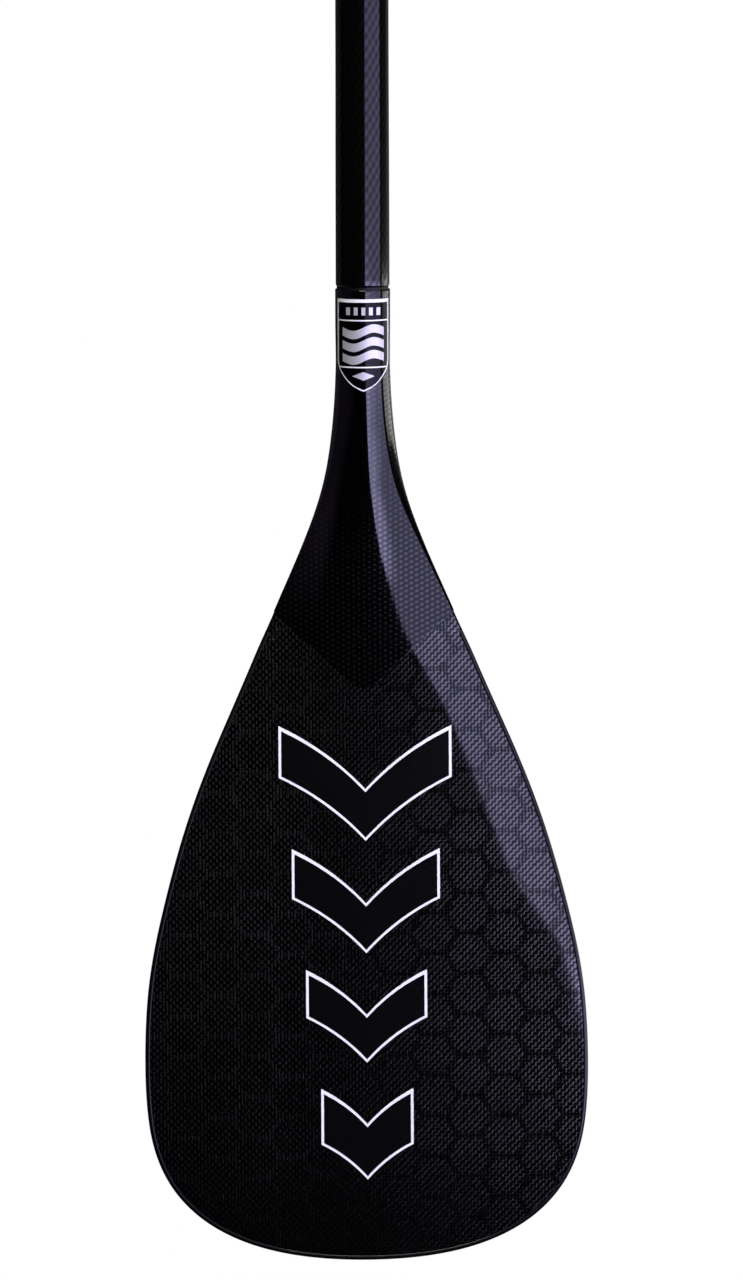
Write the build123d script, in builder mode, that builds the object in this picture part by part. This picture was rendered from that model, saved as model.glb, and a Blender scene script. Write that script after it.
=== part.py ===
from build123d import *
import math
import os

# Single blade stand-up paddle, fixed length, carbon laminate.
# Frame: the shaft axis is the Z axis, +Z runs up the shaft to the T-grip, +X is
# across the blade, and the blade's graphic side faces -Y.  The origin is the
# centre of the T-grip's bar, from which a paddle hangs on its rack.  Millimetres.

# ----------------------------------------------------------------- driving sizes
SEAM_Z = -1516.0          # top of the neck, where the blade meets the shaft
BEND_START = 40.0         # distance below the seam where the neck starts to bend
BEND_END = 175.0          # ... and where the blade is straight again
BLADE_ANGLE = 10.0        # degrees between blade and shaft
BLADE_TIP = 505.5         # seam to tip, along the centreline

SHAFT_R_LOW = 13.90       # shaft outer radius at its lower end
SHAFT_R = 13.55           # shaft outer radius over most of its length
SHAFT_TAPER = 170.0       # length of the thickened lower end
SHAFT_BORE_R = 12.30
SHAFT_TOP_Z = -62.0
SEAM_GAP = 1.6            # groove between shaft end and neck, filled by the glue bead
GROOVE_R = 13.40

SPIGOT_R = 12.10
SPIGOT_WALL = 1.60
SPIGOT_IN_NECK = 50.0
SPIGOT_IN_SHAFT = 95.0
PLUG_LENGTH = 18.0

SKIN = 0.90               # laminate thickness of one face
WRAP = 0.30               # reinforcing cloth round the neck
FILM = 0.15               # label and graphic films
RAIL_WIDTH = 2.40         # edge strip, across
RAIL_HALF_T = 2.00        # half its thickness
RAIL_TOP = 178.0          # distance below the seam where the strip starts
RAIL_ROUND = 1.50

SPAR_WIDTH = 14.0
SPAR_THICK = 3.6
SPAR_END = 400.0

GRIP_BAR_HALF = 52.0      # half length of the T-grip's bar
GRIP_BAR_R = 14.6         # radius at the middle of the bar
GRIP_END_R = 11.8         # ... and at its ends, before they are rounded
GRIP_END_ROUND = 8.5
GRIP_WALL = 1.50
STEM_R = 12.10
STEM_WALL = 1.40
STEM_TOP_Z = -36.0
STEM_BOTTOM_Z = -147.0

# Half width of the neck with its wrap (distance below the seam, half width).
NECK_HALF_WIDTH = [
    (0.0, 14.20), (16.0, 14.20), (26.3, 14.10), (36.7, 14.02), (47.1, 14.32),
    (57.5, 14.88), (67.9, 15.72), (78.3, 16.88), (88.7, 18.42), (99.1, 20.52),
    (109.5, 23.36), (119.9, 26.92), (130.3, 30.98), (140.8, 35.36), (151.2, 39.95),
    (161.6, 44.56), (172.0, 49.02), (178.0, 51.50),
]
# Outline of the blade below the neck (half width, distance below the seam).
OUTLINE = [
    (51.50, 178.00), (55.69, 187.17), (60.29, 197.79), (65.56, 209.87), (71.29, 222.89),
    (77.28, 236.56), (83.23, 250.85), (89.45, 267.25), (95.45, 285.20), (100.94, 304.11),
    (105.94, 323.54), (110.38, 343.53), (113.62, 364.56), (115.08, 384.93),
    (115.42, 405.10), (114.54, 425.69), (110.98, 446.75), (102.11, 466.50),
    (87.46, 482.46), (69.01, 493.56), (47.11, 500.81), (23.28, 504.51), (0.00, 505.50),
]
# Cross-section tables: distance below the seam, value.
FRONT_HEIGHT = [(0, 13.9), (40, 13.7), (70, 13.3), (100, 12.1), (130, 10.0), (160, 7.75),
                (190, 6.2), (220, 5.35), (270, 5.0), (300, 4.75), (340, 3.85), (400, 3.1),
                (450, 2.5), (490, 1.95), (516, 1.7)]
BACK_HEIGHT = [(0, 13.9), (40, 13.7), (70, 13.2), (100, 11.8), (130, 9.4), (160, 6.9),
               (190, 5.1), (220, 4.4), (270, 4.0), (340, 3.5), (400, 2.95), (450, 2.4),
               (490, 1.9), (516, 1.7)]
EDGE_HEIGHT = [(0, 13.9), (40, 13.6), (70, 12.0), (100, 9.2), (120, 6.9), (140, 4.7),
               (160, 3.3), (180, 2.4), (200, 1.95), (230, 1.75), (300, 1.7), (516, 1.7)]
EDGE_POWER = [(0, 2.0), (40, 2.05), (70, 2.3), (100, 2.7), (120, 3.4), (140, 5.0),
              (160, 9.0), (180, 18.0), (205, 32.0), (240, 50.0), (516, 50.0)]
CROWN_POWER = [(0, 2.0), (100, 2.1), (140, 2.0), (516, 2.0)]

STATIONS = [0, 14, 28, 42, 56, 70, 84, 98, 112, 126, 140, 155, 170, 186, 204, 226, 252,
            284, 320, 360, 400, 440, 480, 516]
SPREAD = [1.0, 0.9972, 0.985, 0.955, 0.90, 0.81, 0.69, 0.53, 0.36, 0.18]
SPREAD = SPREAD + [0.0] + [-t for t in reversed(SPREAD)]

BEND_R = (BEND_END - BEND_START) / math.radians(BLADE_ANGLE)


def steady(table, s):
    """Smooth curve through a table that never overshoots its points."""
    n = len(table)
    xs = [float(p[0]) for p in table]
    ys = [float(p[1]) for p in table]
    if s <= xs[0]:
        return ys[0]
    if s >= xs[-1]:
        return ys[-1]
    h = [xs[i + 1] - xs[i] for i in range(n - 1)]
    d = [(ys[i + 1] - ys[i]) / h[i] for i in range(n - 1)]
    m = [d[0]] + [0.0] * (n - 2) + [d[-1]]
    for i in range(1, n - 1):
        if d[i - 1] * d[i] > 0:
            w1, w2 = 2 * h[i] + h[i - 1], h[i] + 2 * h[i - 1]
            m[i] = (w1 + w2) / (w1 / d[i - 1] + w2 / d[i])
    i = max(k for k in range(n - 1) if xs[k] <= s)
    t = (s - xs[i]) / h[i]
    return ((1 + 2 * t) * (1 - t) ** 2 * ys[i] + t * (1 - t) ** 2 * h[i] * m[i]
            + t * t * (3 - 2 * t) * ys[i + 1] + t * t * (t - 1) * h[i] * m[i + 1])


def half_width(s):
    """Half width of the laminate, over-wide below the neck, where it is trimmed."""
    neck = steady(NECK_HALF_WIDTH, s) - WRAP
    if s <= 170.0:
        return neck
    side = steady([(170.0, steady(NECK_HALF_WIDTH, 170.0) - WRAP), (178.0, 51.6)]
                  + [(p[1], p[0] + min(4.0, (p[1] - 178.0) * 0.16)) for p in OUTLINE[1:14]], s)
    return side if s < 384.0 else 119.1


def centre(s):
    """Point on the centreline and the angle turned, at distance s below the seam."""
    a = math.radians(BLADE_ANGLE)
    if s <= BEND_START:
        return (0.0, 0.0, SEAM_Z - s), 0.0
    if s <= BEND_END:
        b = (s - BEND_START) / BEND_R
        return (0.0, -BEND_R * (1 - math.cos(b)),
                SEAM_Z - BEND_START - BEND_R * math.sin(b)), b
    t = s - BEND_END
    return (0.0, -BEND_R * (1 - math.cos(a)) - t * math.sin(a),
            SEAM_Z - BEND_START - BEND_R * math.sin(a) - t * math.cos(a)), a


def section_plane(s):
    """Plane across the centreline; its local Y points out of the graphic face."""
    p, a = centre(s)
    return Plane(origin=p, x_dir=(1, 0, 0), z_dir=(0, -math.sin(a), -math.cos(a)))


def face_height(s, x, grow, front):
    """Height of a face above the centreline at distance x from the middle."""
    table = FRONT_HEIGHT if front else BACK_HEIGHT
    t = min(abs(x) / (half_width(s) + grow), 1.0)
    edge = steady(EDGE_HEIGHT, s) + grow
    drop = steady(table, s) + grow - edge
    return (math.sqrt(max(1.0 - t ** steady(EDGE_POWER, s), 0.0))
            * (edge + drop * (1.0 - t ** steady(CROWN_POWER, s))))


def half_section(s, grow, front):
    """Spline over one face of a cross-section, with the same parameters at each one."""
    a = half_width(s) + grow
    sign = 1.0 if front else -1.0
    pts = [(-a * t, sign * face_height(s, a * t, grow, front)) for t in SPREAD]
    par = [math.acos(t) / math.pi for t in SPREAD]
    up = math.pi * math.sqrt(steady(EDGE_POWER, s) / 2.0) * (steady(EDGE_HEIGHT, s) + grow)
    return Edge.make_spline(pts, tangents=[(0, sign * up, 0), (0, -sign * up, 0)],
                            parameters=par, scale=False)


def blade_plane():
    """The straight blade's middle plane: local X across, local Y down the blade."""
    p, a = centre(BEND_END)
    return Plane(origin=p, x_dir=(1, 0, 0), z_dir=(0, math.cos(a), -math.sin(a)))


def inset(points, amount):
    """The right-hand outline moved inwards by an amount."""
    out = []
    for i, (x, y) in enumerate(points):
        x0, y0 = points[max(i - 1, 0)]
        x1, y1 = points[i + 1] if i + 1 < len(points) else (-x0, y0)
        n = math.hypot(x1 - x0, y1 - y0)
        out.append((x - amount * (y1 - y0) / n, y + amount * (x1 - x0) / n))
    return out


def both_sides(points):
    return [(x, y) for x, y in points] + [(-x, y) for x, y in reversed(points[:-1])]


os.makedirs("parts", exist_ok=True)

# ------------------------------------------------------------ laminate envelopes
with BuildPart() as laminate_outer:          # outside of both skins
    for s in STATIONS:
        with BuildSketch(section_plane(s)):
            with BuildLine():
                add(half_section(s, 0.0, True))
                add(half_section(s, 0.0, False))
            make_face()
    loft()

with BuildPart() as laminate_inner:          # inside of both skins
    for s in STATIONS:
        with BuildSketch(section_plane(s)):
            with BuildLine():
                add(half_section(s, -SKIN, True))
                add(half_section(s, -SKIN, False))
            make_face()
    loft()

with BuildPart() as wrap_outer:              # outside of the neck's wrap
    for s in [t for t in STATIONS if t < 240]:
        with BuildSketch(section_plane(s)):
            with BuildLine():
                add(half_section(s, WRAP, True))
                add(half_section(s, WRAP, False))
            make_face()
    loft()

with BuildPart() as label_outer:             # outside of the neck label's film
    for s in [t for t in STATIONS if t < 80]:
        with BuildSketch(section_plane(s)):
            with BuildLine():
                add(half_section(s, WRAP + FILM, True))
                add(half_section(s, WRAP + FILM, False))
            make_face()
    loft()

with BuildPart() as graphic_outer:           # outside of the blade graphic's film
    for s in [t for t in STATIONS if t > 200]:
        with BuildSketch(section_plane(s)):
            with BuildLine():
                add(half_section(s, FILM, True))
                add(half_section(s, FILM, False))
            make_face()
    loft()

print("laminate", laminate_outer.part.volume, laminate_inner.part.volume)

# Planform of the skins and core: inside the edge strip, and open at the neck.
V = [(x, s - BEND_END) for x, s in OUTLINE]
V_IN = inset(V, RAIL_WIDTH)
V_TOP = RAIL_TOP - BEND_END

with BuildPart() as trim:
    with BuildSketch(blade_plane()):
        with BuildLine():
            Spline(*both_sides(V_IN))
            Polyline(both_sides(V_IN)[-1], (V_IN[0][0] * -1, V_TOP), (-140, V_TOP),
                     (-140, -260), (140, -260), (140, V_TOP), (V_IN[0][0], V_TOP), V_IN[0])
        make_face()
    extrude(amount=40, both=True)

with BuildPart() as front_side:              # everything on the graphic side
    with BuildSketch(Plane.YZ) as side_view:
        p0, a0 = centre(0)
        arc_mid, am = centre((BEND_START + BEND_END) / 2)
        p1, a1 = centre(BEND_START)
        p2, a2 = centre(BEND_END)
        p3, a3 = centre(540)
        with BuildLine():
            Line((0, SEAM_Z + 30), (p1[1], p1[2]))
            ThreePointArc((p1[1], p1[2]), (arc_mid[1], arc_mid[2]), (p2[1], p2[2]))
            Line((p2[1], p2[2]), (p3[1], p3[2]))
            Polyline((p3[1], p3[2]), (-260, p3[2]), (-260, SEAM_Z + 30), (0, SEAM_Z + 30))
        make_face()
    extrude(amount=160, both=True)

# ----------------------------------------------------------------- blade pieces
with BuildPart() as blade_front_skin:
    add(laminate_outer.part)
    add(laminate_inner.part, mode=Mode.SUBTRACT)
    add(trim.part, mode=Mode.INTERSECT)
    add(front_side.part, mode=Mode.INTERSECT)
blade_front_skin.part.label = "blade_front_skin"

with BuildPart() as blade_back_skin:
    add(laminate_outer.part)
    add(laminate_inner.part, mode=Mode.SUBTRACT)
    add(trim.part, mode=Mode.INTERSECT)
    add(front_side.part, mode=Mode.SUBTRACT)
blade_back_skin.part.label = "blade_back_skin"

with BuildPart() as blade_edge_rail:         # strip round the outline
    with BuildSketch(blade_plane()):
        with BuildLine():
            outer = Spline(*both_sides(V))
            inner = Spline(*both_sides(V_IN))
            Polyline(outer @ 0, (V_IN[0][0], V_TOP), inner @ 0)
            Polyline(outer @ 1, (-V_IN[0][0], V_TOP), inner @ 1)
        make_face()
    extrude(amount=RAIL_HALF_T, both=True)
    rail_long = [e for e in blade_edge_rail.edges().filter_by(GeomType.BSPLINE)
                 if e.length > max(k.length for k in blade_edge_rail.edges()) - 3.0]
    fillet(rail_long, radius=RAIL_ROUND)
blade_edge_rail.part.label = "blade_edge_rail"

with BuildPart() as blade_spar:              # stiffener in the middle of the core
    with BuildLine() as spar_path:
        q0, b0 = centre(SPIGOT_IN_NECK + 6)
        qm, bm = centre((SPIGOT_IN_NECK + 6 + BEND_END) / 2)
        q1, b1 = centre(BEND_END)
        q2, b2 = centre(SPAR_END)
        ThreePointArc(q0, qm, q1)
        Line(q1, q2)
    with BuildSketch(section_plane(SPIGOT_IN_NECK + 6)):
        Rectangle(SPAR_WIDTH, SPAR_THICK)
    sweep()
blade_spar.part.label = "blade_spar"

with BuildPart() as neck_top_block:          # the stretch of neck that holds the spigot
    with BuildSketch(Plane.XY.offset(SEAM_Z + 1)):
        Rectangle(80, 80)
    extrude(amount=-(SPIGOT_IN_NECK + 1))

with BuildPart() as blade_core:
    add(laminate_inner.part)
    add(trim.part, mode=Mode.INTERSECT)
    add(neck_top_block.part, mode=Mode.SUBTRACT)
    add(blade_spar.part, mode=Mode.SUBTRACT)
blade_core.part.label = "blade_core"

# ------------------------------------------------------------------ neck pieces
with BuildPart() as wrap_cut:                # the wrap's V-shaped lower end
    with BuildSketch(blade_plane()):
        with BuildLine():
            Polyline((-9.0, 27.6), (-47.0, -7.5), (-58, -18.0), (-150, -130), (-150, -260),
                     (150, -260), (150, -130), (58, -18.0), (47.0, -7.5), (9.0, 27.6))
            ThreePointArc((9.0, 27.6), (0, 32.4), (-9.0, 27.6))
        make_face()
    extrude(amount=60, both=True)

with BuildPart() as neck_front_wrap:
    add(wrap_outer.part)
    add(laminate_outer.part, mode=Mode.SUBTRACT)
    add(wrap_cut.part, mode=Mode.INTERSECT)
    add(front_side.part, mode=Mode.INTERSECT)
neck_front_wrap.part.label = "neck_front_wrap"

with BuildPart() as neck_back_wrap:
    add(wrap_outer.part)
    add(laminate_outer.part, mode=Mode.SUBTRACT)
    add(wrap_cut.part, mode=Mode.INTERSECT)
    add(front_side.part, mode=Mode.SUBTRACT)
neck_back_wrap.part.label = "neck_back_wrap"

with BuildPart() as spigot_tube:             # tang that joins blade and shaft
    with BuildSketch(Plane.XY.offset(SEAM_Z - SPIGOT_IN_NECK)):
        Circle(SPIGOT_R)
        Circle(SPIGOT_R - SPIGOT_WALL, mode=Mode.SUBTRACT)
    extrude(amount=SPIGOT_IN_NECK + SPIGOT_IN_SHAFT)
    chamfer(spigot_tube.edges().group_by(Axis.Z)[-1].sort_by(SortBy.LENGTH)[-1], length=0.6)
spigot_tube.part.label = "spigot_tube"

with BuildPart() as spigot_plug:             # foam plug that keeps water out of the shaft
    with BuildSketch(Plane.XY.offset(SEAM_Z + SPIGOT_IN_SHAFT - PLUG_LENGTH)):
        Circle(SPIGOT_R - SPIGOT_WALL)
    extrude(amount=PLUG_LENGTH)
spigot_plug.part.label = "spigot_plug"

with BuildPart() as neck_bond:               # thickened glue round the spigot
    add(laminate_inner.part)
    with BuildSketch(Plane.XY.offset(SEAM_Z - SPIGOT_IN_NECK)):
        Rectangle(80, 80)
    extrude(amount=SPIGOT_IN_NECK, mode=Mode.INTERSECT)
    with BuildSketch(Plane.XY.offset(SEAM_Z - SPIGOT_IN_NECK)):
        Circle(SPIGOT_R)
    extrude(amount=SPIGOT_IN_NECK, mode=Mode.SUBTRACT)
neck_bond.part.label = "neck_bond"

with BuildPart() as shaft_bond:              # glue film and the bead in the groove
    with BuildSketch(Plane.XZ):
        with BuildLine():
            Polyline((SPIGOT_R, SEAM_Z), (GROOVE_R, SEAM_Z), (GROOVE_R, SEAM_Z + SEAM_GAP),
                     (SHAFT_BORE_R, SEAM_Z + SEAM_GAP),
                     (SHAFT_BORE_R, SEAM_Z + SPIGOT_IN_SHAFT - 2),
                     (SPIGOT_R, SEAM_Z + SPIGOT_IN_SHAFT - 2), (SPIGOT_R, SEAM_Z))
        make_face()
    revolve(axis=Axis.Z)
shaft_bond.part.label = "shaft_bond"

# ------------------------------------------------------------------------ shaft
SHAFT_LOW_Z = SEAM_Z + SEAM_GAP
with BuildPart() as shaft_tube:
    with BuildSketch(Plane.XZ):
        with BuildLine():
            Line((SHAFT_BORE_R, SHAFT_LOW_Z), (SHAFT_R_LOW - 1.1, SHAFT_LOW_Z))
            RadiusArc((SHAFT_R_LOW - 1.1, SHAFT_LOW_Z), (SHAFT_R_LOW, SHAFT_LOW_Z + 1.1), -1.1)
            Spline((SHAFT_R_LOW, SHAFT_LOW_Z + 1.1), (SHAFT_R, SHAFT_LOW_Z + SHAFT_TAPER),
                   tangents=((-0.003, 1), (0, 1)))
            Polyline((SHAFT_R, SHAFT_LOW_Z + SHAFT_TAPER), (SHAFT_R, SHAFT_TOP_Z),
                     (SHAFT_BORE_R, SHAFT_TOP_Z), (SHAFT_BORE_R, SHAFT_LOW_Z))
        make_face()
    revolve(axis=Axis.Z)
shaft_tube.part.label = "shaft_tube"

# ----------------------------------------------------------------------- T-grip
STEM_LEVELS = [(-3.0, 30.0, 10.8), (-10.0, 25.5, 11.6), (-18.0, 20.2, 12.3), (-28.0, 16.3, 12.9),
               (-40.0, 14.4, 13.3), (-52.0, 13.7, 13.5), (SHAFT_TOP_Z, SHAFT_R, SHAFT_R)]
with BuildPart() as grip_core:               # foam inside the bar
    with BuildSketch(Plane.XZ):
        with BuildLine():
            Polyline((-GRIP_BAR_HALF + GRIP_WALL, GRIP_END_R - GRIP_WALL),
                     (-GRIP_BAR_HALF + GRIP_WALL, 0), (GRIP_BAR_HALF - GRIP_WALL, 0),
                     (GRIP_BAR_HALF - GRIP_WALL, GRIP_END_R - GRIP_WALL))
            ThreePointArc((-GRIP_BAR_HALF + GRIP_WALL, GRIP_END_R - GRIP_WALL),
                          (0, GRIP_BAR_R - GRIP_WALL),
                          (GRIP_BAR_HALF - GRIP_WALL, GRIP_END_R - GRIP_WALL))
        core_face = make_face()
        fillet(core_face.vertices().group_by(Axis.Y)[-1], radius=GRIP_END_ROUND - GRIP_WALL)
    revolve(axis=Axis.X)
grip_core.part.label = "grip_core"

with BuildPart() as grip_bar:                # whole bar, from which the shells are cut
    with BuildSketch(Plane.XZ):
        with BuildLine():
            Polyline((-GRIP_BAR_HALF, GRIP_END_R), (-GRIP_BAR_HALF, 0), (GRIP_BAR_HALF, 0),
                     (GRIP_BAR_HALF, GRIP_END_R))
            ThreePointArc((-GRIP_BAR_HALF, GRIP_END_R), (0, GRIP_BAR_R),
                          (GRIP_BAR_HALF, GRIP_END_R))
        bar_face = make_face()
        fillet(bar_face.vertices().group_by(Axis.Y)[-1], radius=GRIP_END_ROUND)
    revolve(axis=Axis.X)

with BuildPart() as grip_front_shell:
    add(grip_bar.part)
    add(grip_core.part, mode=Mode.SUBTRACT)
    split(bisect_by=Plane.XZ, keep=Keep.TOP)
grip_front_shell.part.label = "grip_front_shell"

with BuildPart() as grip_back_shell:
    add(grip_bar.part)
    add(grip_core.part, mode=Mode.SUBTRACT)
    split(bisect_by=Plane.XZ, keep=Keep.BOTTOM)
grip_back_shell.part.label = "grip_back_shell"

with BuildPart() as grip_neck:               # saddle and socket under the bar
    for z, rx, ry in STEM_LEVELS:
        with BuildSketch(Plane.XY.offset(z)):
            Ellipse(rx, ry) if rx != ry else Circle(rx)
    loft()
    add(grip_bar.part, mode=Mode.SUBTRACT)
    with BuildSketch(Plane.XY.offset(SHAFT_TOP_Z)):
        Circle(SHAFT_BORE_R)
    extrude(amount=STEM_TOP_Z - SHAFT_TOP_Z, mode=Mode.SUBTRACT)
grip_neck.part.label = "grip_neck"

with BuildPart() as grip_stem:               # tube from the grip down into the shaft
    with BuildSketch(Plane.XY.offset(STEM_BOTTOM_Z)):
        Circle(STEM_R)
        Circle(STEM_R - STEM_WALL, mode=Mode.SUBTRACT)
    extrude(amount=STEM_TOP_Z - STEM_BOTTOM_Z)
    chamfer(grip_stem.edges().group_by(Axis.Z)[0].sort_by(SortBy.LENGTH)[-1], length=0.6)
grip_stem.part.label = "grip_stem"

with BuildPart() as stem_plug:               # foam plug that seals the shaft's top
    with BuildSketch(Plane.XY.offset(STEM_BOTTOM_Z)):
        Circle(STEM_R - STEM_WALL)
    extrude(amount=PLUG_LENGTH)
stem_plug.part.label = "stem_plug"

with BuildPart() as grip_bond:               # glue film round the stem
    with BuildSketch(Plane.XY.offset(STEM_BOTTOM_Z + 2)):
        Circle(SHAFT_BORE_R)
        Circle(STEM_R, mode=Mode.SUBTRACT)
    extrude(amount=STEM_TOP_Z - STEM_BOTTOM_Z - 2)
grip_bond.part.label = "grip_bond"

# ------------------------------------------------------------- neck label films
# Shield seen square on: half width and distance below the seam.
SHIELD_HALF = 13.1
SHIELD_TOP = 4.3
SHIELD_SIDE = 35.2
SHIELD_TIP = 52.0


def shield(inset_by, top, tip):
    """Right-hand corner, curve points and tip of the shield, moved inwards."""
    w = SHIELD_HALF - inset_by
    k = w / SHIELD_HALF
    return [(w, SEAM_Z - top), (w, SEAM_Z - SHIELD_SIDE),
            (12.4 * k, SEAM_Z - 39.9), (10.0 * k, SEAM_Z - 44.3 + 0.3 * inset_by),
            (6.3 * k, SEAM_Z - 48.5 + 0.7 * inset_by), (0.0, SEAM_Z - tip)]


label_sheet = Plane(origin=(0, 0, 0), x_dir=(1, 0, 0), z_dir=(0, -1, 0))
S_OUT = shield(0.0, SHIELD_TOP, SHIELD_TIP)
S_IN = shield(0.75, SHIELD_TOP + 1.7, SHIELD_TIP - 0.85)

with BuildPart() as label_stock:             # the film over the whole shield
    with BuildSketch(label_sheet):
        with BuildLine():
            Polyline((-S_OUT[1][0], S_OUT[1][1]), (-S_OUT[0][0], S_OUT[0][1]), S_OUT[0], S_OUT[1])
            Spline(*S_OUT[1:], tangents=((0, -1), (-1, -0.42)))
            Spline(*[(-x, z) for x, z in S_OUT[1:]], tangents=((0, -1), (1, -0.42)))
        make_face()
    extrude(amount=30)
    add(label_outer.part, mode=Mode.INTERSECT)
    add(wrap_outer.part, mode=Mode.SUBTRACT)

with BuildPart() as border_cut:              # the white lines
    with BuildSketch(label_sheet):
        with BuildLine():
            Polyline((-S_OUT[1][0], S_OUT[1][1]), (-S_OUT[0][0], S_OUT[0][1]), S_OUT[0], S_OUT[1])
            Spline(*S_OUT[1:], tangents=((0, -1), (-1, -0.42)))
            Spline(*[(-x, z) for x, z in S_OUT[1:]], tangents=((0, -1), (1, -0.42)))
        make_face()
        with BuildLine():
            Polyline((-S_IN[1][0], S_IN[1][1]), (-S_IN[0][0], S_IN[0][1]), S_IN[0], S_IN[1])
            Spline(*S_IN[1:], tangents=((0, -1), (-1, -0.42)))
            Spline(*[(-x, z) for x, z in S_IN[1:]], tangents=((0, -1), (1, -0.42)))
        make_face(mode=Mode.SUBTRACT)
        with Locations((0, SEAM_Z - 15.2), (0, SEAM_Z - 39.3)):
            Rectangle(2 * SHIELD_HALF - 0.8, 0.9)
    extrude(amount=30)

with BuildPart() as emblem_cut:              # plain wave bars, short bars and a lozenge
    with BuildSketch(label_sheet):
        for zc in (18.8, 25.4, 32.0):
            with BuildLine():
                Spline((-10.6, SEAM_Z - zc), (-5.3, SEAM_Z - zc - 1.7), (0, SEAM_Z - zc),
                       (5.3, SEAM_Z - zc + 1.7), (10.6, SEAM_Z - zc))
                Line((10.6, SEAM_Z - zc), (10.6, SEAM_Z - zc - 4.3))
                Spline((10.6, SEAM_Z - zc - 4.3), (5.3, SEAM_Z - zc - 2.6),
                       (0, SEAM_Z - zc - 4.3), (-5.3, SEAM_Z - zc - 6.0),
                       (-10.6, SEAM_Z - zc - 4.3))
                Line((-10.6, SEAM_Z - zc - 4.3), (-10.6, SEAM_Z - zc))
            make_face()
        with Locations(*[(x, SEAM_Z - 10.5) for x in (-7.8, -3.9, 0, 3.9, 7.8)]):
            Rectangle(2.0, 4.0)
        with BuildLine():
            Polyline((-5.8, SEAM_Z - 43.9), (0, SEAM_Z - 41.6), (5.8, SEAM_Z - 43.9),
                     (0, SEAM_Z - 46.2), (-5.8, SEAM_Z - 43.9))
        make_face()
    extrude(amount=30)

with BuildPart() as neck_label_border:
    add(label_stock.part)
    add(border_cut.part, mode=Mode.INTERSECT)
neck_label_border.part.label = "neck_label_border"

with BuildPart() as neck_label_emblem:
    add(label_stock.part)
    add(emblem_cut.part, mode=Mode.INTERSECT)
neck_label_emblem.part.label = "neck_label_emblem"

with BuildPart() as neck_label:
    add(label_stock.part)
    add(border_cut.part, mode=Mode.SUBTRACT)
    add(emblem_cut.part, mode=Mode.SUBTRACT)
neck_label.part.label = "neck_label"

# ---------------------------------------------------------- blade graphic films
# Four plain curved chevrons, the widest at the top: half width, start, depth, height.
CHEVRONS = [(45.0, 227.0, 33.0, 27.0), (38.5, 291.0, 28.5, 26.0), (31.5, 354.0, 23.5, 25.0),
            (24.0, 416.0, 18.5, 29.0)]
LINE = 1.35


def chevron(w, top, depth, height, line):
    """Corner points of one chevron, drawn inside a border line of the given width."""
    slope = math.hypot(1.0, depth / w)
    y0 = top - BEND_END + line * slope
    y1 = top - BEND_END + height - line * slope
    w1 = w - line
    d1 = depth * w1 / w
    lift = depth - d1
    return y0 + lift, y1 + lift, w1, d1


with BuildPart() as graphic_all:
    with BuildSketch(blade_plane()):
        for w, top, depth, height in CHEVRONS:
            y0, y1, w1, d1 = chevron(w, top, depth, height, 0.0)
            with BuildLine():
                ThreePointArc((-w1, y0), (-w1 / 2, y0 + 0.40 * d1), (0, y0 + d1))
                ThreePointArc((0, y0 + d1), (w1 / 2, y0 + 0.40 * d1), (w1, y0))
                Line((w1, y0), (w1, y1))
                ThreePointArc((w1, y1), (w1 / 2, y1 + 0.40 * d1), (0, y1 + d1))
                ThreePointArc((0, y1 + d1), (-w1 / 2, y1 + 0.40 * d1), (-w1, y1))
                Line((-w1, y1), (-w1, y0))
            make_face()
    extrude(amount=-40)
    add(graphic_outer.part, mode=Mode.INTERSECT)
    add(laminate_outer.part, mode=Mode.SUBTRACT)

with BuildPart() as graphic_inside:
    with BuildSketch(blade_plane()):
        for w, top, depth, height in CHEVRONS:
            y0, y1, w1, d1 = chevron(w, top, depth, height, LINE)
            with BuildLine():
                ThreePointArc((-w1, y0), (-w1 / 2, y0 + 0.40 * d1), (0, y0 + d1))
                ThreePointArc((0, y0 + d1), (w1 / 2, y0 + 0.40 * d1), (w1, y0))
                Line((w1, y0), (w1, y1))
                ThreePointArc((w1, y1), (w1 / 2, y1 + 0.40 * d1), (0, y1 + d1))
                ThreePointArc((0, y1 + d1), (-w1 / 2, y1 + 0.40 * d1), (-w1, y1))
                Line((-w1, y1), (-w1, y0))
            make_face()
    extrude(amount=-40)

with BuildPart() as blade_graphic_fill:
    add(graphic_all.part)
    add(graphic_inside.part, mode=Mode.INTERSECT)
blade_graphic_fill.part.label = "blade_graphic_fill"

with BuildPart() as blade_graphic_outline:
    add(graphic_all.part)
    add(graphic_inside.part, mode=Mode.SUBTRACT)
blade_graphic_outline.part.label = "blade_graphic_outline"

# ----------------------------------------------------------------------- export
export_step(blade_front_skin.part, "parts/blade_front_skin.step")
export_step(blade_back_skin.part, "parts/blade_back_skin.step")
export_step(blade_edge_rail.part, "parts/blade_edge_rail.step")
export_step(blade_spar.part, "parts/blade_spar.step")
export_step(blade_core.part, "parts/blade_core.step")
export_step(neck_front_wrap.part, "parts/neck_front_wrap.step")
export_step(neck_back_wrap.part, "parts/neck_back_wrap.step")
export_step(spigot_tube.part, "parts/spigot_tube.step")
export_step(spigot_plug.part, "parts/spigot_plug.step")
export_step(neck_bond.part, "parts/neck_bond.step")
export_step(shaft_bond.part, "parts/shaft_bond.step")
export_step(shaft_tube.part, "parts/shaft_tube.step")
export_step(grip_front_shell.part, "parts/grip_front_shell.step")
export_step(grip_back_shell.part, "parts/grip_back_shell.step")
export_step(grip_core.part, "parts/grip_core.step")
export_step(grip_neck.part, "parts/grip_neck.step")
export_step(grip_stem.part, "parts/grip_stem.step")
export_step(stem_plug.part, "parts/stem_plug.step")
export_step(grip_bond.part, "parts/grip_bond.step")
export_step(neck_label.part, "parts/neck_label.step")
export_step(neck_label_border.part, "parts/neck_label_border.step")
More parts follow.
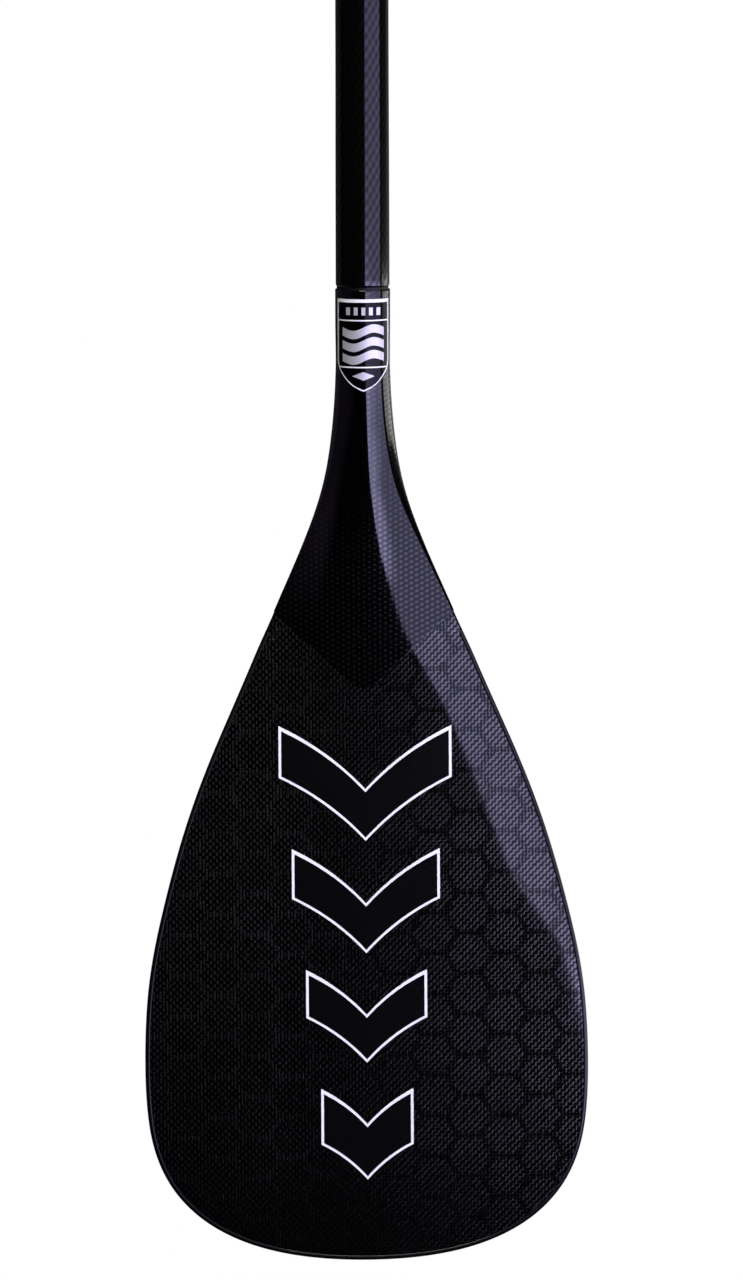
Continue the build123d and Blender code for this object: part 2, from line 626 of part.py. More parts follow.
export_step(neck_label_emblem.part, "parts/neck_label_emblem.step")
export_step(blade_graphic_fill.part, "parts/blade_graphic_fill.step")
export_step(blade_graphic_outline.part, "parts/blade_graphic_outline.step")
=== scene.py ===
# Single blade stand-up paddle: the visible pieces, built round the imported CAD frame.
import math

import bmesh
import bpy
import numpy as np
from mathutils import Matrix, Vector


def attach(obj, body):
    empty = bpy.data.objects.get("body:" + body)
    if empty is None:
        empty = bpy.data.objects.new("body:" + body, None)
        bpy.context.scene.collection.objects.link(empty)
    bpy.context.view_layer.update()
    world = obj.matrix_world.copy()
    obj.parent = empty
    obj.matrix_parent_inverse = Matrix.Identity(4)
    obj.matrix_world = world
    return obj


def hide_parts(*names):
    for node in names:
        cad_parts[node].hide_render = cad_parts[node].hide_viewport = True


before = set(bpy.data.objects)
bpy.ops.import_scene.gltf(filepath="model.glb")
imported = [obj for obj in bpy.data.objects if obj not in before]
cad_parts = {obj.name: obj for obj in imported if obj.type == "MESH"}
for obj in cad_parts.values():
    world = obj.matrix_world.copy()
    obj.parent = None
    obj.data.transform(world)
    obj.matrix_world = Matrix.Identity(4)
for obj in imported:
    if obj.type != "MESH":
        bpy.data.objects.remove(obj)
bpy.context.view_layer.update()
MM = 0.001
BODY = "root"

# ------------------------------------------------------------------ driving sizes
SEAM_Z, BEND_START, BEND_END, BLADE_ANGLE = -1516.0, 40.0, 175.0, 10.0
SHAFT_R_LOW, SHAFT_R, SHAFT_TAPER, SHAFT_BORE_R = 13.90, 13.55, 170.0, 12.30
SHAFT_TOP_Z, SEAM_GAP, GROOVE_R = -62.0, 1.6, 13.40
SKIN, WRAP, FILM = 0.90, 0.30, 0.15
RAIL_WIDTH, RAIL_HALF_T, RAIL_TOP, RAIL_ROUND = 2.40, 2.00, 178.0, 1.50
PHI = math.radians(BLADE_ANGLE)
BEND_R = (BEND_END - BEND_START) / PHI

NECK_HALF_WIDTH = [
    (0.0, 14.20), (16.0, 14.20), (26.3, 14.10), (36.7, 14.02), (47.1, 14.32),
    (57.5, 14.88), (67.9, 15.72), (78.3, 16.88), (88.7, 18.42), (99.1, 20.52),
    (109.5, 23.36), (119.9, 26.92), (130.3, 30.98), (140.8, 35.36), (151.2, 39.95),
    (161.6, 44.56), (172.0, 49.02), (178.0, 51.50)]
OUTLINE = [
    (51.50, 178.00), (55.69, 187.17), (60.29, 197.79), (65.56, 209.87), (71.29, 222.89),
    (77.28, 236.56), (83.23, 250.85), (89.45, 267.25), (95.45, 285.20), (100.94, 304.11),
    (105.94, 323.54), (110.38, 343.53), (113.62, 364.56), (115.08, 384.93),
    (115.42, 405.10), (114.54, 425.69), (110.98, 446.75), (102.11, 466.50),
    (87.46, 482.46), (69.01, 493.56), (47.11, 500.81), (23.28, 504.51), (0.00, 505.50)]
FRONT_HEIGHT = [(0, 13.9), (40, 13.7), (70, 13.3), (100, 12.1), (130, 10.0), (160, 7.75),
                (190, 6.2), (220, 5.35), (270, 5.0), (300, 4.75), (340, 3.7), (400, 3.05),
                (450, 2.5), (490, 1.95), (516, 1.7)]
BACK_HEIGHT = [(0, 13.9), (40, 13.7), (70, 13.2), (100, 11.8), (130, 9.4), (160, 6.9),
               (190, 5.1), (220, 4.4), (270, 4.0), (340, 3.5), (400, 2.95), (450, 2.4),
               (490, 1.9), (516, 1.7)]
EDGE_HEIGHT = [(0, 13.9), (40, 13.6), (70, 12.0), (100, 9.2), (120, 6.9), (140, 4.7),
               (160, 3.3), (180, 2.4), (200, 1.95), (230, 1.75), (300, 1.7), (516, 1.7)]
EDGE_POWER = [(0, 2.0), (40, 2.05), (70, 2.3), (100, 2.7), (120, 3.4), (140, 5.0),
              (160, 9.0), (180, 18.0), (205, 32.0), (240, 60.0), (300, 140.0), (516, 200.0)]
CROWN_POWER = [(0, 2.0), (100, 2.1), (140, 2.0), (516, 2.0)]


# ----------------------------------------------------------- curves through tables
def steady_fn(table):
    """Smooth curve through a table that never overshoots its points."""
    xs = np.array([float(p[0]) for p in table])
    ys = np.array([float(p[1]) for p in table])
    h, n = np.diff(xs), len(xs)
    d = np.diff(ys) / h
    m = np.zeros(n)
    m[0], m[-1] = d[0], d[-1]
    for i in range(1, n - 1):
        if d[i - 1] * d[i] > 0:
            w1, w2 = 2 * h[i] + h[i - 1], h[i] + 2 * h[i - 1]
            m[i] = (w1 + w2) / (w1 / d[i - 1] + w2 / d[i])

    def f(s):
        s = np.clip(np.asarray(s, float), xs[0], xs[-1])
        i = np.clip(np.searchsorted(xs, s, side="right") - 1, 0, n - 2)
        t = (s - xs[i]) / h[i]
        return ((1 + 2 * t) * (1 - t) ** 2 * ys[i] + t * (1 - t) ** 2 * h[i] * m[i]
                + t * t * (3 - 2 * t) * ys[i + 1] + t * t * (t - 1) * h[i] * m[i + 1])
    return f


def spline_fn(points):
    """Natural cubic spline through points, by chord length; returns a function of 0..1."""
    p = np.array(points, float)
    c = np.concatenate([[0], np.cumsum(np.linalg.norm(np.diff(p, axis=0), axis=1))])
    n, h = len(p), np.diff(c)
    a, b = np.zeros((n, n)), np.zeros((n, p.shape[1]))
    a[0, 0] = a[-1, -1] = 1.0
    for i in range(1, n - 1):
        a[i, i - 1], a[i, i], a[i, i + 1] = h[i - 1], 2 * (h[i - 1] + h[i]), h[i]
        b[i] = 6 * ((p[i + 1] - p[i]) / h[i] - (p[i] - p[i - 1]) / h[i - 1])
    m = np.linalg.solve(a, b)

    def f(u):
        s = np.clip(np.asarray(u, float), 0, 1) * c[-1]
        i = np.clip(np.searchsorted(c, s, side="right") - 1, 0, n - 2)
        t0, t1, hh = (c[i + 1] - s)[..., None], (s - c[i])[..., None], h[i][..., None]
        return (m[i] * t0 ** 3 + m[i + 1] * t1 ** 3) / (6 * hh) + (
            (p[i] / hh - m[i] * hh / 6) * t0 + (p[i + 1] / hh - m[i + 1] * hh / 6) * t1)
    return f, c[-1]


neck_w = steady_fn(NECK_HALF_WIDTH)
front_h, back_h = steady_fn(FRONT_HEIGHT), steady_fn(BACK_HEIGHT)
edge_h, edge_p, crown_p = steady_fn(EDGE_HEIGHT), steady_fn(EDGE_POWER), steady_fn(CROWN_POWER)
_side = steady_fn([(170.0, float(neck_w(170.0)) - WRAP), (178.0, 51.6)]
                  + [(p[1], p[0] + min(4.0, (p[1] - 178.0) * 0.16)) for p in OUTLINE[1:14]])


def half_width(s):
    s = np.asarray(s, float)
    return np.where(s <= 170.0, neck_w(s) - WRAP, np.where(s < 384.0, _side(s), 119.1))


def centre(s):
    """Y and Z of the centreline and the angle turned, at distance s below the seam."""
    s = np.asarray(s, float)
    b = np.clip((s - BEND_START) / BEND_R, 0.0, PHI)
    up, t = np.minimum(s, BEND_START), np.maximum(s - BEND_END, 0.0)
    y = -BEND_R * (1 - np.cos(b)) - t * np.sin(PHI)
    z = SEAM_Z - up - BEND_R * np.sin(b) - t * np.cos(PHI)
    return y, z, b


def face_height(s, x, grow, front):
    t = np.clip(np.abs(x) / (half_width(s) + grow), 0.0, 1.0)
    e = edge_h(s) + grow
    drop = (front_h(s) if front else back_h(s)) + grow - e
    return np.sqrt(np.maximum(1 - t ** edge_p(s), 0)) * (e + drop * (1 - t ** crown_p(s)))


def on_face(s, x, grow, front):
    """Points in metres on a face of the blade or neck, grown outwards by a distance."""
    y, z, b = centre(s)
    h = face_height(s, x, grow, front) * (1.0 if front else -1.0)
    return np.stack([x * np.ones_like(h), y - h * np.cos(b), z + h * np.sin(b)], -1) * MM


# Dense outline (right-hand side first), and its inner edge where the skins end.
_out_fn, _out_len = spline_fn(OUTLINE + [(-x, s) for x, s in reversed(OUTLINE[:-1])])
_u = np.linspace(0, 1, 1201)
RIM = _out_fn(_u)
_tan = np.gradient(RIM, axis=0)
_tan /= np.linalg.norm(_tan, axis=1)[:, None]
RIM_IN = RIM + RAIL_WIDTH * np.stack([-_tan[:, 1], _tan[:, 0]], -1)
if np.abs(RIM_IN[600, 1]) > np.abs(RIM[600, 1]):
    RIM_IN = RIM - RAIL_WIDTH * np.stack([-_tan[:, 1], _tan[:, 0]], -1)
_half = RIM_IN[: 601]
IN_TIP = float(_half[-1, 1])


def inner_width(s):
    """Half width of the skins below the neck, inside the edge strip."""
    return np.interp(s, _half[:, 1], _half[:, 0])


# -------------------------------------------------------------------- mesh helpers
def link(name, mesh, mat, nodes=(), smooth=True):
    mesh.validate()
    mesh.update()
    if smooth:
        mesh.polygons.foreach_set("use_smooth", [True] * len(mesh.polygons))
    ob = bpy.data.objects.new(name, mesh)
    bpy.context.scene.collection.objects.link(ob)
    mesh.materials.clear()
    mesh.materials.append(mat)
    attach(ob, BODY)
    if nodes:
        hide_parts(*nodes)
    return ob


def attribute(mesh, name, values):
    at = mesh.attributes.new(name, "FLOAT_VECTOR", "POINT")
    at.data.foreach_set("vector", np.asarray(values, np.float32).ravel())


def sharpen(mesh, degrees):
    """Marks edges sharper than an angle, so that smooth shading stops there."""
    bm = bmesh.new()
    bm.from_mesh(mesh)
    for e in bm.edges:
        if len(e.link_faces) != 2 or e.calc_face_angle(0.0) > math.radians(degrees):
            e.smooth = False
    bm.to_mesh(mesh)
    bm.free()


def slab(name, top, bottom, wv, flip):
    """Closed mesh between two grids of points (rows, columns, 3)."""
    r, c = top.shape[:2]
    verts = np.concatenate([top.reshape(-1, 3), bottom.reshape(-1, 3)])
    i = np.arange(r * c).reshape(r, c)
    quads = np.stack([i[:-1, :-1], i[:-1, 1:], i[1:, 1:], i[1:, :-1]], -1).reshape(-1, 4)
    low = quads[:, ::-1] + r * c
    ring = np.concatenate([i[0, :-1], i[:-1, -1], i[-1, :0:-1], i[:0:-1, 0]])
    nxt = np.roll(ring, -1)
    wall = np.stack([nxt, ring, ring + r * c, nxt + r * c], -1)
    faces = np.concatenate([quads, low, wall])
    if flip:
        faces = faces[:, ::-1]
    mesh = bpy.data.meshes.new(name)
    mesh.from_pydata(verts.tolist(), [], faces.tolist())
    attribute(mesh, "wv", np.concatenate([wv.reshape(-1, 3)] * 2))
    bm = bmesh.new()
    bm.from_mesh(mesh)
    bmesh.ops.remove_doubles(bm, verts=bm.verts, dist=1e-6)
    bmesh.ops.dissolve_degenerate(bm, edges=bm.edges, dist=1e-7)
    bmesh.ops.recalc_face_normals(bm, faces=bm.faces)
    bm.to_mesh(mesh)
    bm.free()
    sharpen(mesh, 40)
    return mesh


def lathe(name, profile, segments=160, closed=True):
    """Closed ring profile of (radius, z) turned round the Z axis."""
    pr = np.array(profile, float)
    a = np.linspace(0, 2 * math.pi, segments, endpoint=False) - math.pi / 2
    r, z = pr[:, 0][:, None], pr[:, 1][:, None]
    verts = np.stack([r * np.cos(a), r * np.sin(a), z + 0 * a], -1) * MM
    n = len(pr)
    i = np.arange(n * segments).reshape(n, segments)
    j = np.roll(i, -1, axis=1)
    faces = []
    for k in range(n if closed else n - 1):
        k2 = (k + 1) % n
        faces.append(np.stack([i[k], j[k], j[k2], i[k2]], -1))
    mesh = bpy.data.meshes.new(name)
    mesh.from_pydata(verts.reshape(-1, 3).tolist(), [], np.concatenate(faces).tolist())
    bm = bmesh.new()
    bm.from_mesh(mesh)
    bmesh.ops.recalc_face_normals(bm, faces=bm.faces)
    bm.to_mesh(mesh)
    bm.free()
    return mesh


# ---------------------------------------------------------------- material helpers
class Nodes:
    """Short spellings for building a node tree."""

    def __init__(self, name):
        self.mat = bpy.data.materials.new(name)
        self.mat.use_nodes = True
        self.nt = self.mat.node_tree
        self.nt.nodes.clear()
        self.out = self.nt.nodes.new("ShaderNodeOutputMaterial")
        self.p = self.nt.nodes.new("ShaderNodeBsdfPrincipled")
        self.nt.links.new(self.p.outputs[0], self.out.inputs["Surface"])

    def put(self, socket, value):
        if isinstance(value, bpy.types.NodeSocket):
            self.nt.links.new(value, socket)
        else:
            socket.default_value = value

    def set(self, **kw):
        for k, v in kw.items():
            self.put(self.p.inputs[k.replace("_", " ")], v)
        return self

    def m(self, op, a, b=0.0, c=0.0, clamp=False):
        n = self.nt.nodes.new("ShaderNodeMath")
        n.operation, n.use_clamp = op, clamp
        self.put(n.inputs[0], a)
        self.put(n.inputs[1], b)
        self.put(n.inputs[2], c)
        return n.outputs[0]

    def add(self, a, b):
        return self.m("ADD", a, b)

    def sub(self, a, b):
        return self.m("SUBTRACT", a, b)

    def mul(self, a, b):
        return self.m("MULTIPLY", a, b)

    def step(self, lo, hi, x):
        n = self.nt.nodes.new("ShaderNodeMapRange")
        n.interpolation_type = "SMOOTHSTEP"
        n.clamp = True
        self.put(n.inputs["Value"], x)
        n.inputs["From Min"].default_value = lo
        n.inputs["From Max"].default_value = hi
        return n.outputs[0]

    def lerp(self, t, a, b):
        """a where t is 0 and b where t is 1, for numbers."""
        return self.add(a, self.mul(t, self.sub(b, a)))

    def mix(self, t, a, b):
        """The same for colours."""
        n = self.nt.nodes.new("ShaderNodeMix")
        n.data_type = "RGBA"
        self.put(n.inputs[0], t)
        self.put(n.inputs[6], a)
        self.put(n.inputs[7], b)
        return n.outputs[2]

    def attr(self, name):
        n = self.nt.nodes.new("ShaderNodeAttribute")
        n.attribute_name = name
        s = self.nt.nodes.new("ShaderNodeSeparateXYZ")
        self.nt.links.new(n.outputs["Vector"], s.inputs[0])
        return n.outputs["Vector"], s.outputs[0], s.outputs[1]

    def attr_z(self, name):
        n = self.nt.nodes.new("ShaderNodeAttribute")
        n.attribute_name = name
        s = self.nt.nodes.new("ShaderNodeSeparateXYZ")
        self.nt.links.new(n.outputs["Vector"], s.inputs[0])
        return s.outputs[2]

    def local(self):
        n = self.nt.nodes.new("ShaderNodeTexCoord")
        s = self.nt.nodes.new("ShaderNodeSeparateXYZ")
        self.nt.links.new(n.outputs["Object"], s.inputs[0])
        return n.outputs["Object"], s.outputs[0], s.outputs[1], s.outputs[2]

    def vec(self, x, y, z=0.0):
        n = self.nt.nodes.new("ShaderNodeCombineXYZ")
        for i, v in enumerate((x, y, z)):
            self.put(n.inputs[i], v)
        return n.outputs[0]

    def noise(self, vector, scale, detail=2.0, rough=0.5):
        n = self.nt.nodes.new("ShaderNodeTexNoise")
        self.put(n.inputs["Vector"], vector)
        n.inputs["Scale"].default_value = scale
        n.inputs["Detail"].default_value = detail
        n.inputs["Roughness"].default_value = rough
        return n.outputs[0]

    def white(self, vector):
        n = self.nt.nodes.new("ShaderNodeTexWhiteNoise")
        n.noise_dimensions = "3D"
        self.put(n.inputs[0], vector)
        return n.outputs[0]

    def bump(self, height, distance, strength=1.0, normal=None):
        n = self.nt.nodes.new("ShaderNodeBump")
        n.inputs["Strength"].default_value = strength
        n.inputs["Distance"].default_value = distance
        self.put(n.inputs["Height"], height)
        if normal is not None:
            self.put(n.inputs["Normal"], normal)
        return n.outputs[0]


def rgb(r, g=None, b=None):
    return (r, r if g is None else g, r if b is None else b, 1.0)


TAU = 2 * math.pi


# ---------------------------------------------------------------- blade and neck
def face_piece(name, front, mat, nodes):
    """One laminate face with its thickness, from the seam to the edge strip."""
    rows = np.concatenate([
        np.linspace(0.0, 160.0, 84), np.linspace(162.0, 177.98, 12),
        RIM_IN[1:601:5, 1][RIM_IN[1:601:5, 1] > 178.03], [IN_TIP]])
    rows = np.unique(np.sort(np.concatenate([rows, [178.02]])))
    th = np.linspace(-math.pi / 2, math.pi / 2, 97)
    s = rows[:, None]
    w = np.where(rows < 178.0, half_width(rows), inner_width(rows))[:, None]
    w[-1] = 0.0
    x = w * np.sin(th)[None, :]
    scale = np.minimum(1.0, (half_width(s) - SKIN) / np.maximum(w, 1e-6))
    top = on_face(s, x, 0.0, front)
    low = on_face(s, x * scale, -SKIN, front)
    wv = np.stack([x, s * np.ones_like(x), 0 * x], -1)
    return link(name, slab(name, top, low, wv, False), mat, nodes)


def wrap_line(x):
    """Where the neck's wrap ends, as a distance below the seam, at x off the middle."""
    a = np.abs(x)
    bx, by, cy = 9.0, 27.6, 32.4
    r = (bx * bx + (cy - by) ** 2) / (2 * (cy - by))
    arc = cy - r + np.sqrt(np.maximum(r * r - a * a, 0.0))
    line = by + (a - bx) * (-7.5 - by) / (47.0 - bx)
    return 175.0 + np.where(a < bx, arc, line)


def wrap_piece(name, front, mat, nodes):
    th = np.linspace(-math.pi / 2, math.pi / 2, 129)
    lo, hi = np.full(th.shape, 120.0), np.full(th.shape, 209.0)
    for _ in range(50):
        mid = (lo + hi) / 2
        over = mid > wrap_line(half_width(mid) * np.sin(th))
        hi, lo = np.where(over, mid, hi), np.where(over, lo, mid)
    end = (lo + hi) / 2
    d_end = np.array([1.2, 0.8, 0.5, 0.3, 0.15, 0.05, 0.0])
    d_top = np.array([0.0, 0.05, 0.12, 0.22, 0.35])
    mid = np.linspace(0, 1, 110)[:, None] * (end - 1.6 - 0.6)[None, :] + 0.6
    s = np.concatenate([d_top[:, None] * np.ones_like(end)[None, :], mid,
                        end[None, :] - d_end[:, None]])
    off = np.minimum(np.clip((end[None, :] - s) / 0.8, 0, 1), np.clip(s / 0.35, 0, 1) * 0.65 + 0.35)
    grow = WRAP * np.sqrt(np.maximum(1 - (1 - off) ** 2, 0.0)) + 0.002
    k = (half_width(s) + grow) / half_width(s)
    x = half_width(s) * np.sin(th)[None, :]
    top = on_face(s, x * k, grow, front)
    low = on_face(s, x, 0.002, front)
    wv = np.stack([x, s, np.clip((end[None, :] - s) / 1.2, 0, 1)], -1)
    return link(name, slab(name, top, low, wv, False), mat, nodes)


def rail_piece(mat):
    """Moulded strip swept round the outline."""
    n = 601
    u = np.linspace(0, 1, n)
    rim = _out_fn(u)
    tan = np.gradient(rim, axis=0)
    tan /= np.linalg.norm(tan, axis=1)[:, None]
    inward = np.stack([-tan[:, 1], tan[:, 0]], -1)
    if inward[n // 2, 1] > 0:
        inward = -inward
    r, t, w, c = RAIL_ROUND, RAIL_HALF_T, RAIL_WIDTH, 0.35
    sec = []
    for a in np.linspace(0, math.pi / 2, 7):
        sec.append((r - r * math.cos(a), (t - r) + r * math.sin(a)))
    for a in np.linspace(0, math.pi / 2, 4):
        sec.append((w - c + c * math.sin(a), t - c + c * math.cos(a)))
    sec = sec + [(d, -h) for d, h in reversed(sec)]
    sec = np.array(sec)
    d, h = sec[:, 0][None, :], sec[:, 1][None, :]
    px = rim[:, :1] + inward[:, :1] * d
    ps = rim[:, 1:] + inward[:, 1:] * d
    # The strip starts square against the neck, so its first row is cut level.
    cut = np.array([[1.0], [-1.0]]) * (rim[0, 0] - d / w * (rim[0, 0] - RIM_IN[0, 0]))
    px = np.concatenate([cut[:1], px, cut[1:]])
    ps = np.concatenate([0 * d + RAIL_TOP, ps, 0 * d + RAIL_TOP])
    n += 2
    y, z, b = centre(ps)
    co = np.stack([px, y - h * np.cos(b), z + h * np.sin(b)], -1) * MM
    m = len(sec)
    i = np.arange(n * m).reshape(n, m)
    j = np.roll(i, -1, axis=1)
    faces = np.stack([i[:-1], j[:-1], j[1:], i[1:]], -1).reshape(-1, 4).tolist()
    faces += [i[0].tolist(), i[-1].tolist()]
    mesh = bpy.data.meshes.new("vis_edge_rail")
    mesh.from_pydata(co.reshape(-1, 3).tolist(), [], faces)
    arc = np.concatenate([[0], np.cumsum(np.linalg.norm(np.diff(rim, axis=0), axis=1))])
    arc = np.concatenate([[0], arc, arc[-1:]])
    attribute(mesh, "wv", np.stack([arc[:, None] + 0 * d, d + 0 * px, h + 0 * px], -1))
    bm = bmesh.new()
    bm.from_mesh(mesh)
    bmesh.ops.remove_doubles(bm, verts=bm.verts, dist=1e-6)
    bmesh.ops.dissolve_degenerate(bm, edges=bm.edges, dist=1e-7)
    bmesh.ops.recalc_face_normals(bm, faces=bm.faces)
    bm.to_mesh(mesh)
    bm.free()
    sharpen(mesh, 50)
    return link("vis_edge_rail", mesh, mat, ["blade_edge_rail"])


# ------------------------------------------------------------------ thin films
def inside(poly, p):
    """Even-odd test of points against a closed polygon."""
    x, y = p[:, 0], p[:, 1]
    res = np.zeros(len(p), bool)
    q = np.array(poly)
    for (x1, y1), (x2, y2) in zip(q, np.roll(q, -1, axis=0)):
        if y1 == y2:
            continue
        hit = (y1 > y) != (y2 > y)
        res ^= hit & (x < (x2 - x1) * (y - y1) / (y2 - y1) + x1)
    return res


def triangulate(loops, grid):
    """Triangles over closed loops and a grid of points, with no edge across a loop."""
    from mathutils.geometry import delaunay_2d_cdt
    pts, edges = [], []
    for lp in loops:
        k = len(pts)
        pts += [Vector((float(a), float(b))) for a, b in lp]
        edges += [(k + i, k + (i + 1) % len(lp)) for i in range(len(lp))]
    pts += [Vector((float(a), float(b))) for a, b in grid]
    v, _, f, _, _, _ = delaunay_2d_cdt(pts, edges, [], 0, 1e-5)
    return np.array([tuple(p) for p in v]), [tuple(t) for t in f]


def film_piece(name, pts, tris, base, thick, front, mat, nodes):
    """Closed film over chosen triangles, lying on a face at a distance base."""
    used = sorted({i for t in tris for i in t})
    at = {k: i for i, k in enumerate(used)}
    p = pts[used]
    n = len(used)
    top = on_face(p[:, 1], p[:, 0], base + thick, front)
    low = on_face(p[:, 1], p[:, 0], base, front)
    faces, edges = [], {}
    for t in tris:
        a = [at[i] for i in t]
        faces.append(a)
        faces.append([i + n for i in reversed(a)])
        for i in range(3):
            edges[(a[i], a[(i + 1) % 3])] = True
    for a, b in edges:
        if (b, a) not in edges:
            faces.append([b, a, a + n, b + n])
    mesh = bpy.data.meshes.new(name)
    mesh.from_pydata(np.concatenate([top, low]).tolist(), [], faces)
    wv = np.stack([p[:, 0], p[:, 1], 0 * p[:, 0]], -1)
    attribute(mesh, "wv", np.concatenate([wv, wv]))
    bm = bmesh.new()
    bm.from_mesh(mesh)
    bmesh.ops.recalc_face_normals(bm, faces=bm.faces)
    bm.to_mesh(mesh)
    bm.free()
    sharpen(mesh, 40)
    return link(name, mesh, mat, nodes)


def densify(loop, step):
    out = []
    q = np.array(loop, float)
    for a, b in zip(q, np.roll(q, -1, axis=0)):
        n = max(1, int(math.ceil(np.linalg.norm(b - a) / step)))
        out += [a + (b - a) * i / n for i in range(n)]
    return np.array(out)


def curve(points, n=24):
    f, _ = spline_fn(points)
    return [tuple(p) for p in f(np.linspace(0, 1, n))]


SHIELD_HALF, SHIELD_TOP, SHIELD_SIDE, SHIELD_TIP = 13.1, 4.3, 35.2, 52.0


def shield_loop(inset_by, top, tip):
    w = SHIELD_HALF - inset_by
    k = w / SHIELD_HALF
    low = curve([(w, SHIELD_SIDE - 2), (w, SHIELD_SIDE), (12.4 * k, 39.9),
                 (10.0 * k, 44.3 - 0.3 * inset_by), (6.3 * k, 48.5 - 0.7 * inset_by),
                 (0.0, tip)], 40)
    right = [(w, top)] + low
    return right + [(-x, s) for x, s in reversed(right[:-1])]


def rect(x0, x1, s0, s1):
    return [(x0, s0), (x1, s0), (x1, s1), (x0, s1)]


def label_pieces(mat_black, mat_white, mat_silver):
    outer, inner = shield_loop(0.0, SHIELD_TOP, SHIELD_TIP), shield_loop(
        0.6, SHIELD_TOP + 1.7, SHIELD_TIP - 0.75)
    bars = [rect(-SHIELD_HALF + 0.4, SHIELD_HALF - 0.4, c - 0.35, c + 0.35) for c in (15.2, 39.3)]
    figures = []
    for c in (18.8, 25.4, 32.0):
        up = curve([(-10.6, c), (-5.3, c + 1.7), (0, c), (5.3, c - 1.7), (10.6, c)])
        dn = curve([(10.6, c + 4.3), (5.3, c + 2.6), (0, c + 4.3), (-5.3, c + 6.0),
                    (-10.6, c + 4.3)])
        figures.append(up + dn)
    figures += [rect(c - 1.0, c + 1.0, 8.5, 12.5) for c in (-7.8, -3.9, 0.0, 3.9, 7.8)]
    figures.append([(-5.8, 43.9), (0, 41.6), (5.8, 43.9), (0, 46.2)])
    # The bars' ends lie inside the side lines, so they are cut at the inner outline.
    w_in = SHIELD_HALF - 0.6
    cut = [rect(-w_in, w_in, 14.85, 15.55)]
    low_w = float(np.interp(39.3, [p[1] for p in inner[1:40]], [p[0] for p in inner[1:40]]))
    cut.append(rect(-low_w - 0.2, low_w + 0.2, 38.95, 39.65))
    gx, gs = np.meshgrid(np.arange(-12.8, 12.9, 0.9), np.arange(5.0, 52, 1.5))
    grid = np.stack([gx.ravel(), gs.ravel()], -1)
    grid = grid[inside(outer, grid)]
    loops = [densify(p, 0.9) for p in [outer, inner] + cut + figures]
    pts, tris = triangulate(loops, grid)
    mid = np.array([pts[list(t)].mean(0) for t in tris])
    in_out, in_in = inside(outer, mid), inside(inner, mid)
    in_bar = inside(bars[0], mid) | inside(bars[1], mid)
    in_fig = np.zeros(len(mid), bool)
    for f in figures:
        in_fig |= inside(f, mid)
    border = in_out & (~in_in | in_bar)
    emblem = in_out & in_fig & ~border
    base = in_out & ~border & ~emblem
    pick = lambda m: [t for t, k in zip(tris, m) if k]
    g = WRAP + 0.004
    film_piece("vis_label_base", pts, pick(base), g, FILM, True, mat_black,
               ["neck_label"])
    film_piece("vis_label_border", pts, pick(border), g, FILM, True, mat_white,
               ["neck_label_border"])
    film_piece("vis_label_emblem", pts, pick(emblem), g, FILM, True, mat_silver,
               ["neck_label_emblem"])


CHEVRONS = [(45.0, 227.0, 33.0, 27.0), (38.5, 291.0, 28.5, 26.0), (31.5, 354.0, 23.5, 25.0),
            (24.0, 416.0, 18.5, 29.0)]
LINE = 1.35


def arc3(p0, p1, p2, n=20):
    """Points on the circle through three points, from the first to the last."""
    (ax, ay), (bx, by), (cx, cy) = p0, p1, p2
    d = 2 * (ax * (by - cy) + bx * (cy - ay) + cx * (ay - by))
    ux = ((ax**2 + ay**2) * (by - cy) + (bx**2 + by**2) * (cy - ay) + (cx**2 + cy**2) * (ay - by)) / d
    uy = ((ax**2 + ay**2) * (cx - bx) + (bx**2 + by**2) * (ax - cx) + (cx**2 + cy**2) * (bx - ax)) / d
    r = math.hypot(ax - ux, ay - uy)
    a0, a1, a2 = (math.atan2(y - uy, x - ux) for x, y in (p0, p1, p2))
    turn = (a2 - a0) % TAU
    if (a1 - a0) % TAU > turn:
        turn -= TAU
    return [(ux + r * math.cos(a0 + turn * i / n), uy + r * math.sin(a0 + turn * i / n))
            for i in range(n + 1)]


def chevron_loop(w, top, depth, height, line):
    slope = math.hypot(1.0, depth / w)
    y0, y1 = top + line * slope, top + height - line * slope
    w1 = w - line
    d1 = depth * w1 / w
    y0, y1 = y0 + depth - d1, y1 + depth - d1
    up = arc3((-w1, y0), (-w1 / 2, y0 + 0.40 * d1), (0, y0 + d1))
    up += arc3((0, y0 + d1), (w1 / 2, y0 + 0.40 * d1), (w1, y0))[1:]
    dn = arc3((w1, y1), (w1 / 2, y1 + 0.40 * d1), (0, y1 + d1))
    dn += arc3((0, y1 + d1), (-w1 / 2, y1 + 0.40 * d1), (-w1, y1))[1:]
    return up + dn


def graphic_pieces(mat_fill, mat_line):
    outs = [chevron_loop(*c, 0.0) for c in CHEVRONS]
    ins = [chevron_loop(*c, LINE) for c in CHEVRONS]
    gx, gs = np.meshgrid(np.arange(-45, 46, 2.5), np.arange(226, 466, 2.5))
    grid = np.stack([gx.ravel(), gs.ravel()], -1)
    keep = np.zeros(len(grid), bool)
    for o in outs:
        keep |= inside(o, grid)
    pts, tris = triangulate([densify(p, 1.5) for p in outs + ins], grid[keep])
    mid = np.array([pts[list(t)].mean(0) for t in tris])
    in_o, in_i = np.zeros(len(mid), bool), np.zeros(len(mid), bool)
    for o, i in zip(outs, ins):
        in_o |= inside(o, mid)
        in_i |= inside(i, mid)
    pick = lambda m: [t for t, k in zip(tris, m) if k]
    film_piece("vis_graphic_fill", pts, pick(in_o & in_i), 0.003, FILM, True, mat_fill,
               ["blade_graphic_fill"])
    film_piece("vis_graphic_outline", pts, pick(in_o & ~in_i), 0.003, FILM, True, mat_line,
               ["blade_graphic_outline"])


